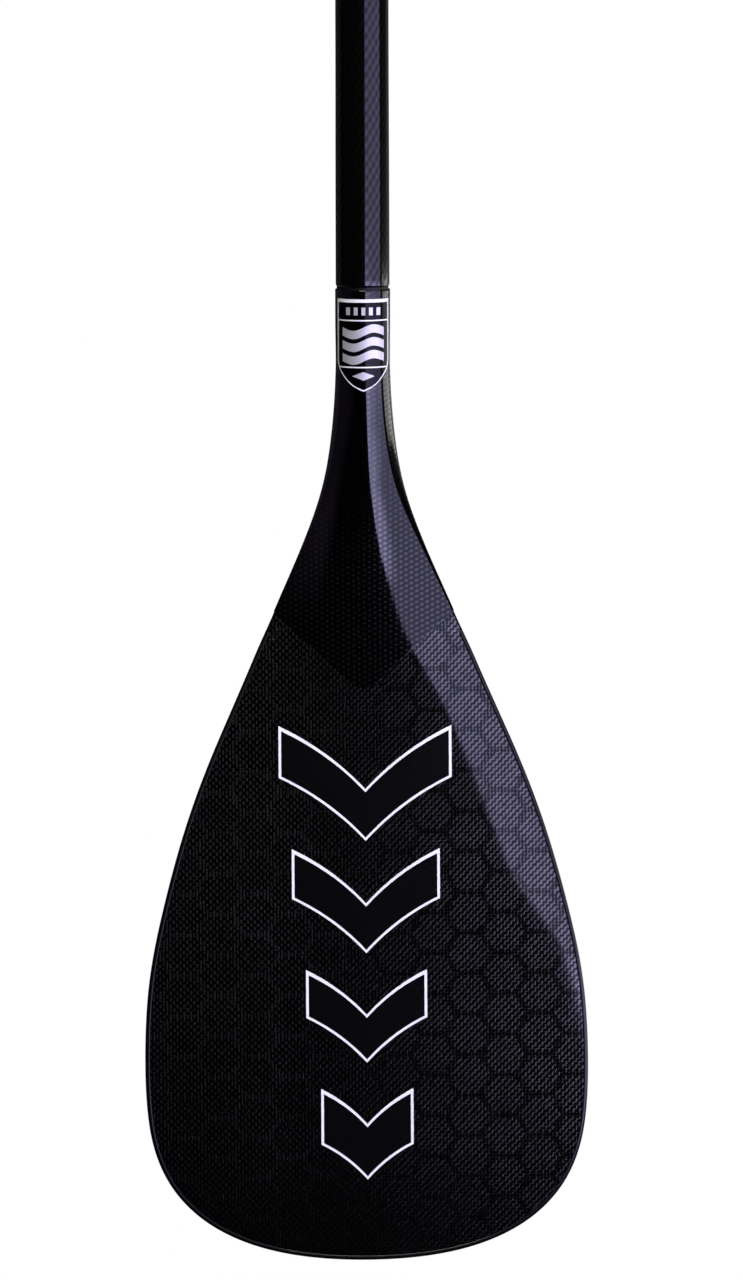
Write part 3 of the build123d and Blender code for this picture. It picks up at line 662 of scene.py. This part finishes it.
# ------------------------------------------------------------------ shaft and grip
def shaft_piece(mat):
    low = SEAM_Z + SEAM_GAP
    prof = [(SHAFT_BORE_R, low + 0.1), (SHAFT_R_LOW - 1.1, low)]
    for a in np.linspace(0, math.pi / 2, 8)[1:]:
        prof.append((SHAFT_R_LOW - 1.1 + 1.1 * math.sin(a), low + 1.1 - 1.1 * math.cos(a)))
    ease = steady_fn([(0, SHAFT_R_LOW), (57, 13.80), (113, 13.63), (SHAFT_TAPER, SHAFT_R)])
    for d in np.linspace(4, SHAFT_TAPER, 24):
        prof.append((float(ease(d)), low + d))
    for z in np.linspace(low + SHAFT_TAPER + 40, SHAFT_TOP_Z - 0.25, 30):
        prof.append((SHAFT_R, z))
    prof += [(SHAFT_R - 0.25, SHAFT_TOP_Z), (SHAFT_BORE_R, SHAFT_TOP_Z)]
    mesh = lathe("vis_shaft", prof, 160)
    sharpen(mesh, 50)
    return link("vis_shaft", mesh, mat, ["shaft_tube"])


GRIP_BAR_HALF, GRIP_BAR_R, GRIP_END_R, GRIP_END_ROUND, GRIP_WALL = 52.0, 14.6, 11.8, 8.5, 1.5


def bar_profile(half, mid_r, end_r, rnd):
    """(x, radius) along the bar, rounded at its ends."""
    big = (half ** 2 + (mid_r - end_r) ** 2) / (2 * (mid_r - end_r))
    yc = mid_r - big
    fy = math.sqrt((big - rnd) ** 2 - (half - rnd) ** 2) + yc
    ang = math.atan2(fy - yc, half - rnd)
    pts = [(half, 0.0), (half, fy * 0.5)]
    for a in np.linspace(0, ang, 14):
        pts.append((half - rnd + rnd * math.cos(a), fy + rnd * math.sin(a)))
    for x in np.linspace(pts[-1][0], 0, 16)[1:]:
        pts.append((float(x), yc + math.sqrt(big ** 2 - x * x)))
    pts = [(-x, r) for x, r in pts[:-1]] + list(reversed(pts))
    return np.array(pts)


def grip_shell(name, front, mat, nodes):
    out = bar_profile(GRIP_BAR_HALF, GRIP_BAR_R, GRIP_END_R, GRIP_END_ROUND)
    inn = bar_profile(GRIP_BAR_HALF - GRIP_WALL, GRIP_BAR_R - GRIP_WALL, GRIP_END_R - GRIP_WALL,
                      GRIP_END_ROUND - GRIP_WALL)
    g = np.array([0.0, 0.006, 0.014, 0.025])
    a = np.concatenate([g, np.linspace(0.05, math.pi - 0.05, 57), math.pi - g[::-1]])
    sign = -1.0 if front else 1.0
    drop = 0.22 * np.clip(1 - np.minimum(a, math.pi - a) / 0.025, 0, 1) ** 2

    def spin(p, dr):
        r = np.maximum(p[:, 1][:, None] - dr[None, :], 0.0) * np.where(p[:, 1] > 0, 1, 0)[:, None]
        x = p[:, 0][:, None] + 0 * r
        return np.stack([x, sign * r * np.sin(a), r * np.cos(a)], -1) * MM
    top, low = spin(out, drop), spin(inn, 0 * drop)
    wv = np.stack([out[:, 0][:, None] + 0 * a, GRIP_BAR_R * a + 0 * out[:, :1], 0 * a + 0 * out[:, :1]], -1)
    return link(name, slab(name, top, low, wv, False), mat, nodes)


STEM_LEVELS = [(-3.0, 30.0, 10.8), (-10.0, 25.5, 11.6), (-18.0, 20.2, 12.3), (-28.0, 16.3, 12.9),
               (-40.0, 14.4, 13.3), (-52.0, 13.7, 13.5), (SHAFT_TOP_Z, SHAFT_R, SHAFT_R)]


def grip_neck_piece(mat):
    """Saddle under the bar, blended into it."""
    lv = sorted(STEM_LEVELS)
    fx, fy = steady_fn([(z, a) for z, a, _ in lv]), steady_fn([(z, b) for z, _, b in lv])
    bar = bar_profile(GRIP_BAR_HALF, GRIP_BAR_R, GRIP_END_R, GRIP_END_ROUND)
    rb = lambda x: np.interp(np.abs(x), bar[bar[:, 0] >= 0][:, 0], bar[bar[:, 0] >= 0][:, 1])
    a = np.linspace(0, TAU, 128, endpoint=False)
    pt = lambda z: np.stack([fx(z) * np.cos(a), fy(z) * np.sin(a), z], -1)
    lo, hi = np.full(a.shape, -40.0), np.full(a.shape, -3.0)
    for _ in range(50):
        mid = (lo + hi) / 2
        p = pt(mid)
        inn = p[:, 1] ** 2 + p[:, 2] ** 2 < rb(p[:, 0]) ** 2
        hi, lo = np.where(inn, mid, hi), np.where(inn, lo, mid)
    zc = (lo + hi) / 2
    c, reach = pt(zc), 4.5
    zb = zc - reach * 0.9
    b = pt(zb)
    out = np.stack([np.cos(a) / fx(zc), np.sin(a) / fy(zc), 0 * a], -1)
    out /= np.linalg.norm(out, axis=1)[:, None]
    nrm = np.stack([0 * a, c[:, 1], c[:, 2]], -1)
    nrm /= np.linalg.norm(nrm, axis=1)[:, None]
    along = out - (out * nrm).sum(1)[:, None] * nrm
    along /= np.maximum(np.linalg.norm(along, axis=1), 1e-6)[:, None]
    top = c + along * 3.0
    k = (rb(top[:, 0]) + 0.0) / np.hypot(top[:, 1], top[:, 2])
    top[:, 1] *= k
    top[:, 2] *= k
    rows = [top * 1.0]
    for t in np.linspace(0, 1, 9)[1:]:
        rows.append((1 - t) ** 2 * top + 2 * t * (1 - t) * c + t * t * b)
    for t in np.linspace(0, 1, 24)[1:]:
        rows.append(pt(zb + (SHAFT_TOP_Z + 0.2 - zb) * t))
    last = rows[-1].copy()
    rim = last * [1, 1, 0] * (1 - 0.25 / SHAFT_R) + [0, 0, SHAFT_TOP_Z + 0.02]
    rows.append(rim)
    bore = rim * [1, 1, 0] / np.hypot(rim[:, 0], rim[:, 1])[:, None] * SHAFT_BORE_R
    rows.append(bore + [0, 0, SHAFT_TOP_Z + 0.02])
    rows.append(bore + [0, 0, -36.0])
    rows.append(bore * 0.02 + [0, 0, -35.8])
    g = np.array(rows)
    n, m = g.shape[:2]
    i = np.arange(n * m).reshape(n, m)
    j = np.roll(i, -1, axis=1)
    faces = np.stack([i[:-1], j[:-1], j[1:], i[1:]], -1).reshape(-1, 4).tolist()
    faces.append(i[-1][::-1].tolist())
    verts = g.reshape(-1, 3).tolist()
    base, prev = len(verts), i[0]
    # The hidden seat follows the bar's underside, drawn in towards the middle.
    for q, f in enumerate((0.9, 0.6, 0.3)):
        x, y = top[:, 0] * f, top[:, 1] * f
        z = -np.sqrt(np.maximum(rb(x) ** 2 - y * y, 0)) - 0.03
        verts += np.stack([x, y, z], -1).tolist()
        cur = np.arange(m) + base + q * m
        for e in range(m):
            e2 = (e + 1) % m
            faces.append([int(prev[e2]), int(prev[e]), int(cur[e]), int(cur[e2])])
        prev = cur
    faces.append([int(v) for v in prev])
    mesh = bpy.data.meshes.new("vis_grip_neck")
    mesh.from_pydata((np.array(verts) * MM).tolist(), [], faces)
    bm = bmesh.new()
    bm.from_mesh(mesh)
    bmesh.ops.recalc_face_normals(bm, faces=bm.faces)
    bm.to_mesh(mesh)
    bm.free()
    sharpen(mesh, 50)
    return link("vis_grip_neck", mesh, mat, ["grip_neck"])


# --------------------------------------------------------------------- materials
DARK = rgb(0.0002, 0.00018, 0.0002)


def carbon_blade_mat():
    """Plain weave with a honeycomb woven into it, under resin; wv is in mm."""
    n = Nodes("carbon_blade")
    _, x0, s0 = n.attr("wv")
    wob = n.sub(n.noise(n.vec(x0, s0), 0.16, 2.0), 0.5)
    wob2 = n.sub(n.noise(n.vec(x0, s0, 7.0), 0.19, 2.0), 0.5)
    x, s = n.add(x0, n.mul(wob, 0.9)), n.add(s0, n.mul(wob2, 0.9))
    p = 1.757
    u, v = n.m("DIVIDE", x, p), n.m("DIVIDE", s, p)

    def cell(dx, ds):
        px, ps, ox, os_ = 37.0, 21.17, 53.2, 388.2
        a = n.m("ABSOLUTE", n.sub(n.m("FLOORED_MODULO", n.sub(x, ox + dx - px / 2), px), px / 2))
        b = n.m("ABSOLUTE", n.sub(n.m("FLOORED_MODULO", n.sub(s, os_ + ds - ps / 2), ps), ps / 2))
        return n.m("MAXIMUM", b, n.add(n.mul(a, 0.866), n.mul(b, 0.5)))

    m0, m1 = cell(0.0, 0.0), cell(18.5, 10.585)
    h = n.m("MINIMUM", m0, m1)
    sgn = n.sub(n.mul(n.m("LESS_THAN", m0, m1), 2.0), 1.0)
    edge = n.step(8.7, 10.2, h)
    # side goes from the blade's left half (0) to its right half (1); the weave colour below is given lit on
    # the right and shaded on the left, painted light from the key on the right.
    side = n.step(-35.0, 30.0, x)
    pi = math.pi
    wa = n.mul(sgn, n.m("COSINE", n.mul(n.add(u, v), pi)))
    wd = n.mul(sgn, n.m("COSINE", n.mul(n.sub(u, v), pi)))
    wb = n.m("COSINE", n.mul(u, TAU))
    wc = n.mul(n.m("COSINE", n.mul(v, TAU)), -1.0)
    mix4 = lambda a, b, c, d: n.add(n.add(n.mul(wa, a), n.mul(wb, b)),
                                    n.add(n.mul(wc, c), n.mul(wd, d)))
    body = n.lerp(side, mix4(0.62, 0.18, 0.30, 0.60), mix4(0.90, 0.55, 0.28, 0.12))
    rim = n.add(n.add(n.mul(wb, 0.75), n.mul(wc, n.lerp(side, 0.20, 0.35))), n.lerp(side, 0.36, -0.30))
    pat = n.lerp(edge, body, rim)
    rnd = n.white(n.vec(n.m("ROUND", u), n.m("ROUND", v), 1.0))
    pat = n.add(pat, n.mul(n.sub(rnd, 0.5), 0.55))
    light = n.m("DIVIDE", n.sub(pat, n.lerp(side, 0.36, 0.14)), n.lerp(side, 0.78, 0.90), clamp=True)
    gloss = n.m("DIVIDE", n.add(pat, 0.55), 1.15, clamp=True)
    # Painted shade: hex cell edges are darkened on the left half only.
    light = n.mul(light, n.lerp(edge, 1.0, n.lerp(side, 1.0, 0.55)))
    cloud = n.noise(n.vec(x0, s0, 3.0), 0.03, 3.0)
    # Painted shade: the weave is darkened from 270 to 480 mm down the blade, more on the left half, again
    # towards the tip, and within 60 mm of the middle.
    painted_shade = n.lerp(n.step(270.0, 480.0, s0), n.lerp(side, 0.92, 0.92), n.lerp(side, 0.42, 0.76))
    painted_shade = n.mul(painted_shade, n.lerp(n.step(430.0, 500.0, s0), 1.0, 0.45))
    painted_shade = n.mul(painted_shade, n.lerp(n.step(60.0, 10.0, n.m("ABSOLUTE", x0)), 1.0, 0.6))
    # soft carries the weave, a random cloud and the painted shade into the base colour.
    soft = n.mul(light, n.mul(n.lerp(cloud, 0.55, 1.45), painted_shade))
    base = n.mix(soft, DARK, rgb(0.062, 0.057, 0.054))
    n.set(Base_Color=base, Roughness=n.lerp(light, 0.30, 0.20), Metallic=n.mul(light, 0.95),
          Normal=n.bump(light, 0.00008, 0.4),
          Coat_Weight=n.mul(n.lerp(gloss, 0.22, 1.0), n.lerp(edge, 1.0, 0.88)),
          Coat_Roughness=0.04, Coat_IOR=1.8, Specular_IOR_Level=0.02)
    return n.mat


def carbon_neck_mat():
    """Fine braid: small cells in columns, darker and smoother than the blade."""
    n = Nodes("carbon_neck")
    _, x, s = n.attr("wv")
    wob = n.sub(n.noise(n.vec(x, s), 0.14, 2.0), 0.5)
    xx = n.add(x, n.mul(wob, 0.8))
    fx, fs = 0.184, 0.3565
    # 0 on the wrap's feathered end in the middle of the face, 1 elsewhere
    cover = n.m("MAXIMUM", n.step(0.66, 1.0, n.attr_z("wv")), n.step(20.0, 26.0, x))
    cx = n.m("COSINE", n.mul(xx, TAU * fx))
    up = n.m("COSINE", n.mul(n.add(n.mul(xx, fx), n.mul(s, fs)), TAU))
    dn = n.m("COSINE", n.mul(n.sub(n.mul(xx, fx), n.mul(s, fs)), TAU))
    c2 = n.m("COSINE", n.mul(xx, 2 * TAU * fx))
    pat = n.add(n.mul(up, 0.62), n.add(n.mul(dn, 0.34), n.mul(c2, 0.38)))
    low = n.step(90.0, 150.0, s)
    pat = n.mul(pat, n.lerp(low, 0.35, 1.15))
    rnd = n.noise(n.vec(n.mul(x, 1.0), n.mul(s, 1.6)), 0.75, 2.0, 0.6)
    fine = n.noise(n.vec(x, n.mul(s, 1.5), 4.0), 1.7, 1.0, 0.5)
    pat = n.add(pat, n.add(n.mul(n.sub(rnd, 0.5), 1.1), n.mul(n.sub(fine, 0.5), n.lerp(low, 1.9, 1.0))))
    dots = n.m("DIVIDE", n.sub(pat, 0.25), 1.1, clamp=True)
    light = n.m("DIVIDE", n.add(pat, 0.45), 1.3, clamp=True)
    # Painted sheen: a faint violet lightening of the dark on the left of the neck, moving left down the neck
    # and fading out between 110 and 178 mm, stands in for light from the left.
    past = n.m("MAXIMUM", n.sub(s, 60.0), 0.0)
    painted_sheen = n.step(0.0, 7.0, n.sub(n.mul(x, -1.0), n.add(3.0, n.mul(past, 0.16))))
    painted_sheen = n.mul(n.mul(painted_sheen, n.step(178.0, 110.0, s)), n.lerp(light, 0.55, 1.0))
    dark = n.mix(painted_sheen, DARK, rgb(0.0085, 0.0068, 0.0105))
    base = n.mix(n.mul(dots, dots), dark, rgb(0.023, 0.0223, 0.0223))
    n.set(Base_Color=base, Roughness=0.27, Metallic=n.mul(light, n.sub(0.85, n.mul(painted_sheen, 0.5))),
          Normal=n.bump(light, 0.00006, 0.35),
          Coat_Weight=n.mul(n.lerp(light, 0.42, 1.0), n.lerp(cover, 0.10, 1.0)),
          Coat_Roughness=0.045, Coat_IOR=1.65,
          Coat_Normal=n.bump(light, 0.00003, 0.12), Specular_IOR_Level=0.02)
    return n.mat


def carbon_shaft_mat():
    """Filament-wrapped tube: faint crossing diagonals under a satin coat."""
    n = Nodes("carbon_shaft")
    _, x, y, z = n.local()
    ang = n.mul(n.m("ARCTAN2", x, n.mul(y, -1.0)), 13.6)
    zz = n.mul(z, 1000.0)
    d1 = n.m("COSINE", n.mul(n.add(n.mul(ang, 0.27), n.mul(zz, 0.155)), TAU))
    d2 = n.m("COSINE", n.mul(n.sub(n.mul(ang, 0.27), n.mul(zz, 0.155)), TAU))
    rnd = n.noise(n.vec(ang, n.mul(zz, 0.7)), 0.8, 3.0, 0.6)
    pat = n.add(n.add(n.mul(d1, 0.25), n.mul(d2, 0.5)), n.mul(n.sub(rnd, 0.5), 1.2))
    light = n.m("DIVIDE", n.add(pat, 0.7), 1.5, clamp=True)
    base = n.mix(light, DARK, rgb(0.003, 0.003, 0.0033))
    n.set(Base_Color=base, Roughness=0.36, Metallic=n.mul(light, 0.7),
          Normal=n.bump(light, 0.00003, 0.3),
          Coat_Weight=n.lerp(light, 0.38, 0.95), Coat_Roughness=0.085, Coat_IOR=1.6,
          Specular_IOR_Level=0.02)
    return n.mat


def grip_mat():
    n = Nodes("grip_carbon")
    _, x, y, z = n.local()
    u, v = n.mul(n.add(x, n.mul(y, 0.6)), 1000.0), n.mul(n.sub(z, n.mul(y, 0.6)), 1000.0)
    d = n.m("COSINE", n.mul(n.add(n.mul(u, 0.22), n.mul(v, 0.22)), TAU))
    c = n.m("COSINE", n.mul(n.mul(v, 0.44), TAU))
    rnd = n.noise(n.vec(u, v), 0.7, 2.0, 0.6)
    pat = n.add(n.add(n.mul(d, 0.7), n.mul(c, 0.3)), n.mul(n.sub(rnd, 0.5), 0.8))
    light = n.m("DIVIDE", n.add(pat, 0.4), 1.4, clamp=True)
    base = n.mix(light, DARK, rgb(0.035, 0.033, 0.035))
    n.set(Base_Color=base, Roughness=0.36, Metallic=n.mul(light, 0.8),
          Normal=n.bump(light, 0.00004, 0.3),
          Coat_Weight=0.8, Coat_Roughness=0.10, Coat_IOR=1.5, Specular_IOR_Level=0.08)
    return n.mat


def plain_mat(name, colour, rough, vary=0.06, scale=900.0, coat=0.0, bump=0.0, metal=0.0,
              spec=0.5, coat_rough=0.06, ior=1.5):
    """One colour with a faint, fine mottling."""
    n = Nodes(name)
    v, _, _, _ = n.local()
    k = n.noise(v, scale, 3.0, 0.6)
    lo = tuple(max(c * (1 - vary), 0.0) for c in colour) + (1.0,)
    hi = tuple(min(c * (1 + vary), 1.0) for c in colour) + (1.0,)
    n.set(Base_Color=n.mix(k, lo, hi), Roughness=n.lerp(k, rough * 0.9, min(rough * 1.1, 1.0)),
          Metallic=metal, Coat_Weight=coat, Coat_Roughness=coat_rough, Coat_IOR=ior,
          Specular_IOR_Level=spec)
    if bump:
        n.set(Normal=n.bump(k, bump, 0.5))
    return n.mat


def silver_mat():
    """Label figures in metallic ink."""
    n = Nodes("label_silver")
    _, x, s = n.attr("wv")
    k = n.noise(n.vec(x, s), 2.2, 3.0, 0.6)
    base = n.mix(k, rgb(0.55, 0.53, 0.58), rgb(0.68, 0.66, 0.71))
    n.set(Base_Color=base, Roughness=n.lerp(k, 0.42, 0.50), Metallic=0.5, Coat_Weight=0.3,
          Coat_Roughness=0.06)
    return n.mat


MAT_BLADE, MAT_NECK, MAT_SHAFT, MAT_GRIP = (
    carbon_blade_mat(), carbon_neck_mat(), carbon_shaft_mat(), grip_mat())
MAT_RAIL = plain_mat("edge_strip", (0.0015, 0.0014, 0.0016), 0.34, 0.2, 400.0, coat=0.3, spec=0.15)
MAT_TUBE = plain_mat("carbon_tube", (0.02, 0.02, 0.021), 0.42, 0.3, 1500.0)
MAT_CORE = plain_mat("foam_core", (0.78, 0.74, 0.60), 0.85, 0.05, 1800.0, bump=0.0001)
MAT_PLUG = plain_mat("foam_plug", (0.10, 0.10, 0.105), 0.9, 0.15, 1800.0, bump=0.0001)
MAT_GLUE = plain_mat("glue", (0.003, 0.003, 0.003), 0.40, 0.2, 700.0, bump=0.00008, spec=0.2)
MAT_BLACK = plain_mat("label_black", (0.0006, 0.0006, 0.0008), 0.40, 0.1, 900.0, coat=0.22,
                      spec=0.03, coat_rough=0.10)
MAT_WHITE = plain_mat("label_white", (0.84, 0.84, 0.86), 0.42, 0.02, 900.0, coat=0.5)
MAT_SILVER = silver_mat()
MAT_FILL = plain_mat("graphic_black", (0.0004, 0.0004, 0.0005), 0.40, 0.1, 900.0, coat=0.8,
                     spec=0.05)
MAT_LINE = plain_mat("graphic_white", (0.84, 0.84, 0.86), 0.42, 0.02, 900.0, coat=0.5)

# ------------------------------------------------------------------ the pieces
face_piece("vis_blade_front", True, MAT_BLADE, ["blade_front_skin"])
face_piece("vis_blade_back", False, MAT_BLADE, ["blade_back_skin"])
rail_piece(MAT_RAIL)
wrap_piece("vis_neck_front_wrap", True, MAT_NECK, ["neck_front_wrap"])
wrap_piece("vis_neck_back_wrap", False, MAT_NECK, ["neck_back_wrap"])
label_pieces(MAT_BLACK, MAT_WHITE, MAT_SILVER)
graphic_pieces(MAT_FILL, MAT_LINE)
shaft_piece(MAT_SHAFT)
grip_shell("vis_grip_front", True, MAT_GRIP, ["grip_front_shell"])
grip_shell("vis_grip_back", False, MAT_GRIP, ["grip_back_shell"])
grip_neck_piece(MAT_GRIP)

# CAD nodes that stay as they are, inside the paddle or in the groove.
for node, mat, slot in [
        ("blade_core", MAT_CORE, "foam_core"), ("grip_core", MAT_CORE, "foam_core"),
        ("blade_spar", MAT_TUBE, "carbon_tube"), ("spigot_tube", MAT_TUBE, "carbon_tube"),
        ("grip_stem", MAT_TUBE, "carbon_tube"), ("spigot_plug", MAT_PLUG, "foam_plug"),
        ("stem_plug", MAT_PLUG, "foam_plug"), ("neck_bond", MAT_GLUE, "glue"),
        ("shaft_bond", MAT_GLUE, "glue"), ("grip_bond", MAT_GLUE, "glue")]:
    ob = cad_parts[node]
    ob.data.materials.clear()
    ob.data.materials.append(mat)


# --------------------------------------------------------------------- the stage
def emission(name, colour, strength):
    m = bpy.data.materials.new(name)
    m.use_nodes = True
    nt = m.node_tree
    nt.nodes.clear()
    out = nt.nodes.new("ShaderNodeOutputMaterial")
    e = nt.nodes.new("ShaderNodeEmission")
    e.inputs["Color"].default_value = (*colour, 1.0)
    e.inputs["Strength"].default_value = strength
    nt.links.new(e.outputs[0], out.inputs["Surface"])
    return m


def area(name, where, toward, size_x, size_y, power, colour=(1, 1, 1), spread=math.pi):
    """Rectangular soft light, seen in reflections and not by the camera."""
    d = bpy.data.lights.new(name, "AREA")
    d.shape, d.size, d.size_y, d.energy, d.color = "RECTANGLE", size_x, size_y, power, colour
    d.spread = spread
    o = bpy.data.objects.new(name, d)
    bpy.context.scene.collection.objects.link(o)
    o.location = where
    o.rotation_euler = (Vector(toward) - Vector(where)).to_track_quat("-Z", "Y").to_euler()
    o.visible_camera = False
    return o


def strip(name, p0, p1, z0, z1, strength, colour, low=1.0, zlow=-1.7, fade=0.08):
    """Upright soft box between two plan points; low multiplies its part below zlow."""
    (x0, y0), (x1, y1) = p0, p1
    n = Nodes(name)
    n.nt.nodes.remove(n.p)
    e = n.nt.nodes.new("ShaderNodeEmission")
    _, _, _, z = n.local()
    n.put(e.inputs["Color"], (*colour, 1.0))
    n.put(e.inputs["Strength"], n.lerp(n.step(zlow - fade, zlow + fade, z), strength * low, strength))
    n.nt.links.new(e.outputs[0], n.out.inputs["Surface"])
    me = bpy.data.meshes.new(name)
    me.from_pydata([(x0, y0, z0), (x1, y1, z0), (x1, y1, z1), (x0, y0, z1)], [], [[0, 1, 2, 3]])
    me.materials.append(n.mat)
    o = bpy.data.objects.new(name, me)
    bpy.context.scene.collection.objects.link(o)
    o.visible_camera = False
    return o


fl = bpy.data.meshes.new("floor")
fl.from_pydata([(40 * math.cos(a), 40 * math.sin(a), -2.12) for a in np.linspace(0, TAU, 64, endpoint=False)],
               [], [list(range(64))])
floor = bpy.data.objects.new("floor", fl)
fl.materials.append(emission("floor", (1, 1, 1), 1.0))
bpy.context.scene.collection.objects.link(floor)
floor.visible_glossy = False
floor.visible_diffuse = False

LAV = (0.62, 0.59, 1.0)
strip("key_box", (0.44, -2.5), (1.3, -0.26), -2.1, 1.0, 2.1, LAV, low=3.0, zlow=-1.68, fade=0.08)
strip("rim_right", (1.1, 0.75), (0.45, 1.25), -2.1, 1.0, 0.22, (0.75, 0.72, 1.0), low=3.5,
      zlow=-1.64, fade=0.06)
strip("rim_left", (-0.55, 1.2), (-1.2, 0.35), -2.1, 1.0, 0.07, (0.75, 0.7, 1.0))
strip("warm_card", (1.3, 0.0), (0.95, 0.86), -2.1, -1.60, 2.6, (1.0, 0.97, 0.89))
area("top_soft", (-0.1, -1.9, 0.25), (0, 0, -1.75), 1.1, 0.7, 64.0, (1.0, 0.98, 0.88))
area("back_soft", (0.5, 2.4, 0.7), (0, 0, -1.5), 1.8, 1.1, 150.0, (0.94, 0.95, 1.0))

card = bpy.data.meshes.new("back_card")
card.from_pydata([(-0.9, 0.06, -2.1), (0.9, 0.06, -2.1), (0.9, 1.5, -2.1), (-0.9, 1.5, -2.1)], [],
                 [[0, 1, 2, 3]])
card.materials.append(emission("back_card", (0.78, 0.78, 0.92), 0.45))
back_card = bpy.data.objects.new("back_card", card)
bpy.context.scene.collection.objects.link(back_card)
back_card.visible_camera = False

world = bpy.data.worlds.new("studio")
bpy.context.scene.world = world
world.use_nodes = True
nt = world.node_tree
nt.nodes.clear()
wo = nt.nodes.new("ShaderNodeOutputWorld")
bg1, bg2 = nt.nodes.new("ShaderNodeBackground"), nt.nodes.new("ShaderNodeBackground")
bg1.inputs[0].default_value, bg1.inputs[1].default_value = (0.8, 0.8, 1.0, 1.0), 0.005
bg2.inputs[0].default_value, bg2.inputs[1].default_value = (1, 1, 1, 1), 1.0
lp, mx = nt.nodes.new("ShaderNodeLightPath"), nt.nodes.new("ShaderNodeMixShader")
nt.links.new(lp.outputs["Is Camera Ray"], mx.inputs[0])
nt.links.new(bg1.outputs[0], mx.inputs[1])
nt.links.new(bg2.outputs[0], mx.inputs[2])
nt.links.new(mx.outputs[0], wo.inputs[0])

# --------------------------------------------------------------------- the camera
ca, sa = math.cos(PHI), math.sin(PHI)
yaw = math.radians(1.5)
normal = Vector((-ca * math.sin(yaw), -ca * math.cos(yaw), sa))
target = Vector((3.85, -13.05, -1697.76)) * MM
eye = target + 1.9 * normal
fwd, up0 = -normal, Vector((sa * math.sin(yaw), sa * math.cos(yaw), ca))
roll = math.radians(0.129)
right0 = fwd.cross(up0)
up = up0 * math.cos(roll) + right0 * math.sin(roll)
right = fwd.cross(up)
cam_data = bpy.data.cameras.new("camera")
cam_data.sensor_width, cam_data.sensor_fit = 36.0, "AUTO"
cam_data.lens = 3644.7 / 1280 * 36.0
cam_data.clip_start, cam_data.clip_end = 0.05, 200.0
cam = bpy.data.objects.new("camera", cam_data)
bpy.context.scene.collection.objects.link(cam)
m = Matrix((right, up, -fwd)).transposed().to_4x4()
m.translation = eye
cam.matrix_world = m
bpy.context.scene.camera = cam

bpy.context.scene.view_settings.view_transform = "Standard"
bpy.context.scene.view_settings.look = "None"
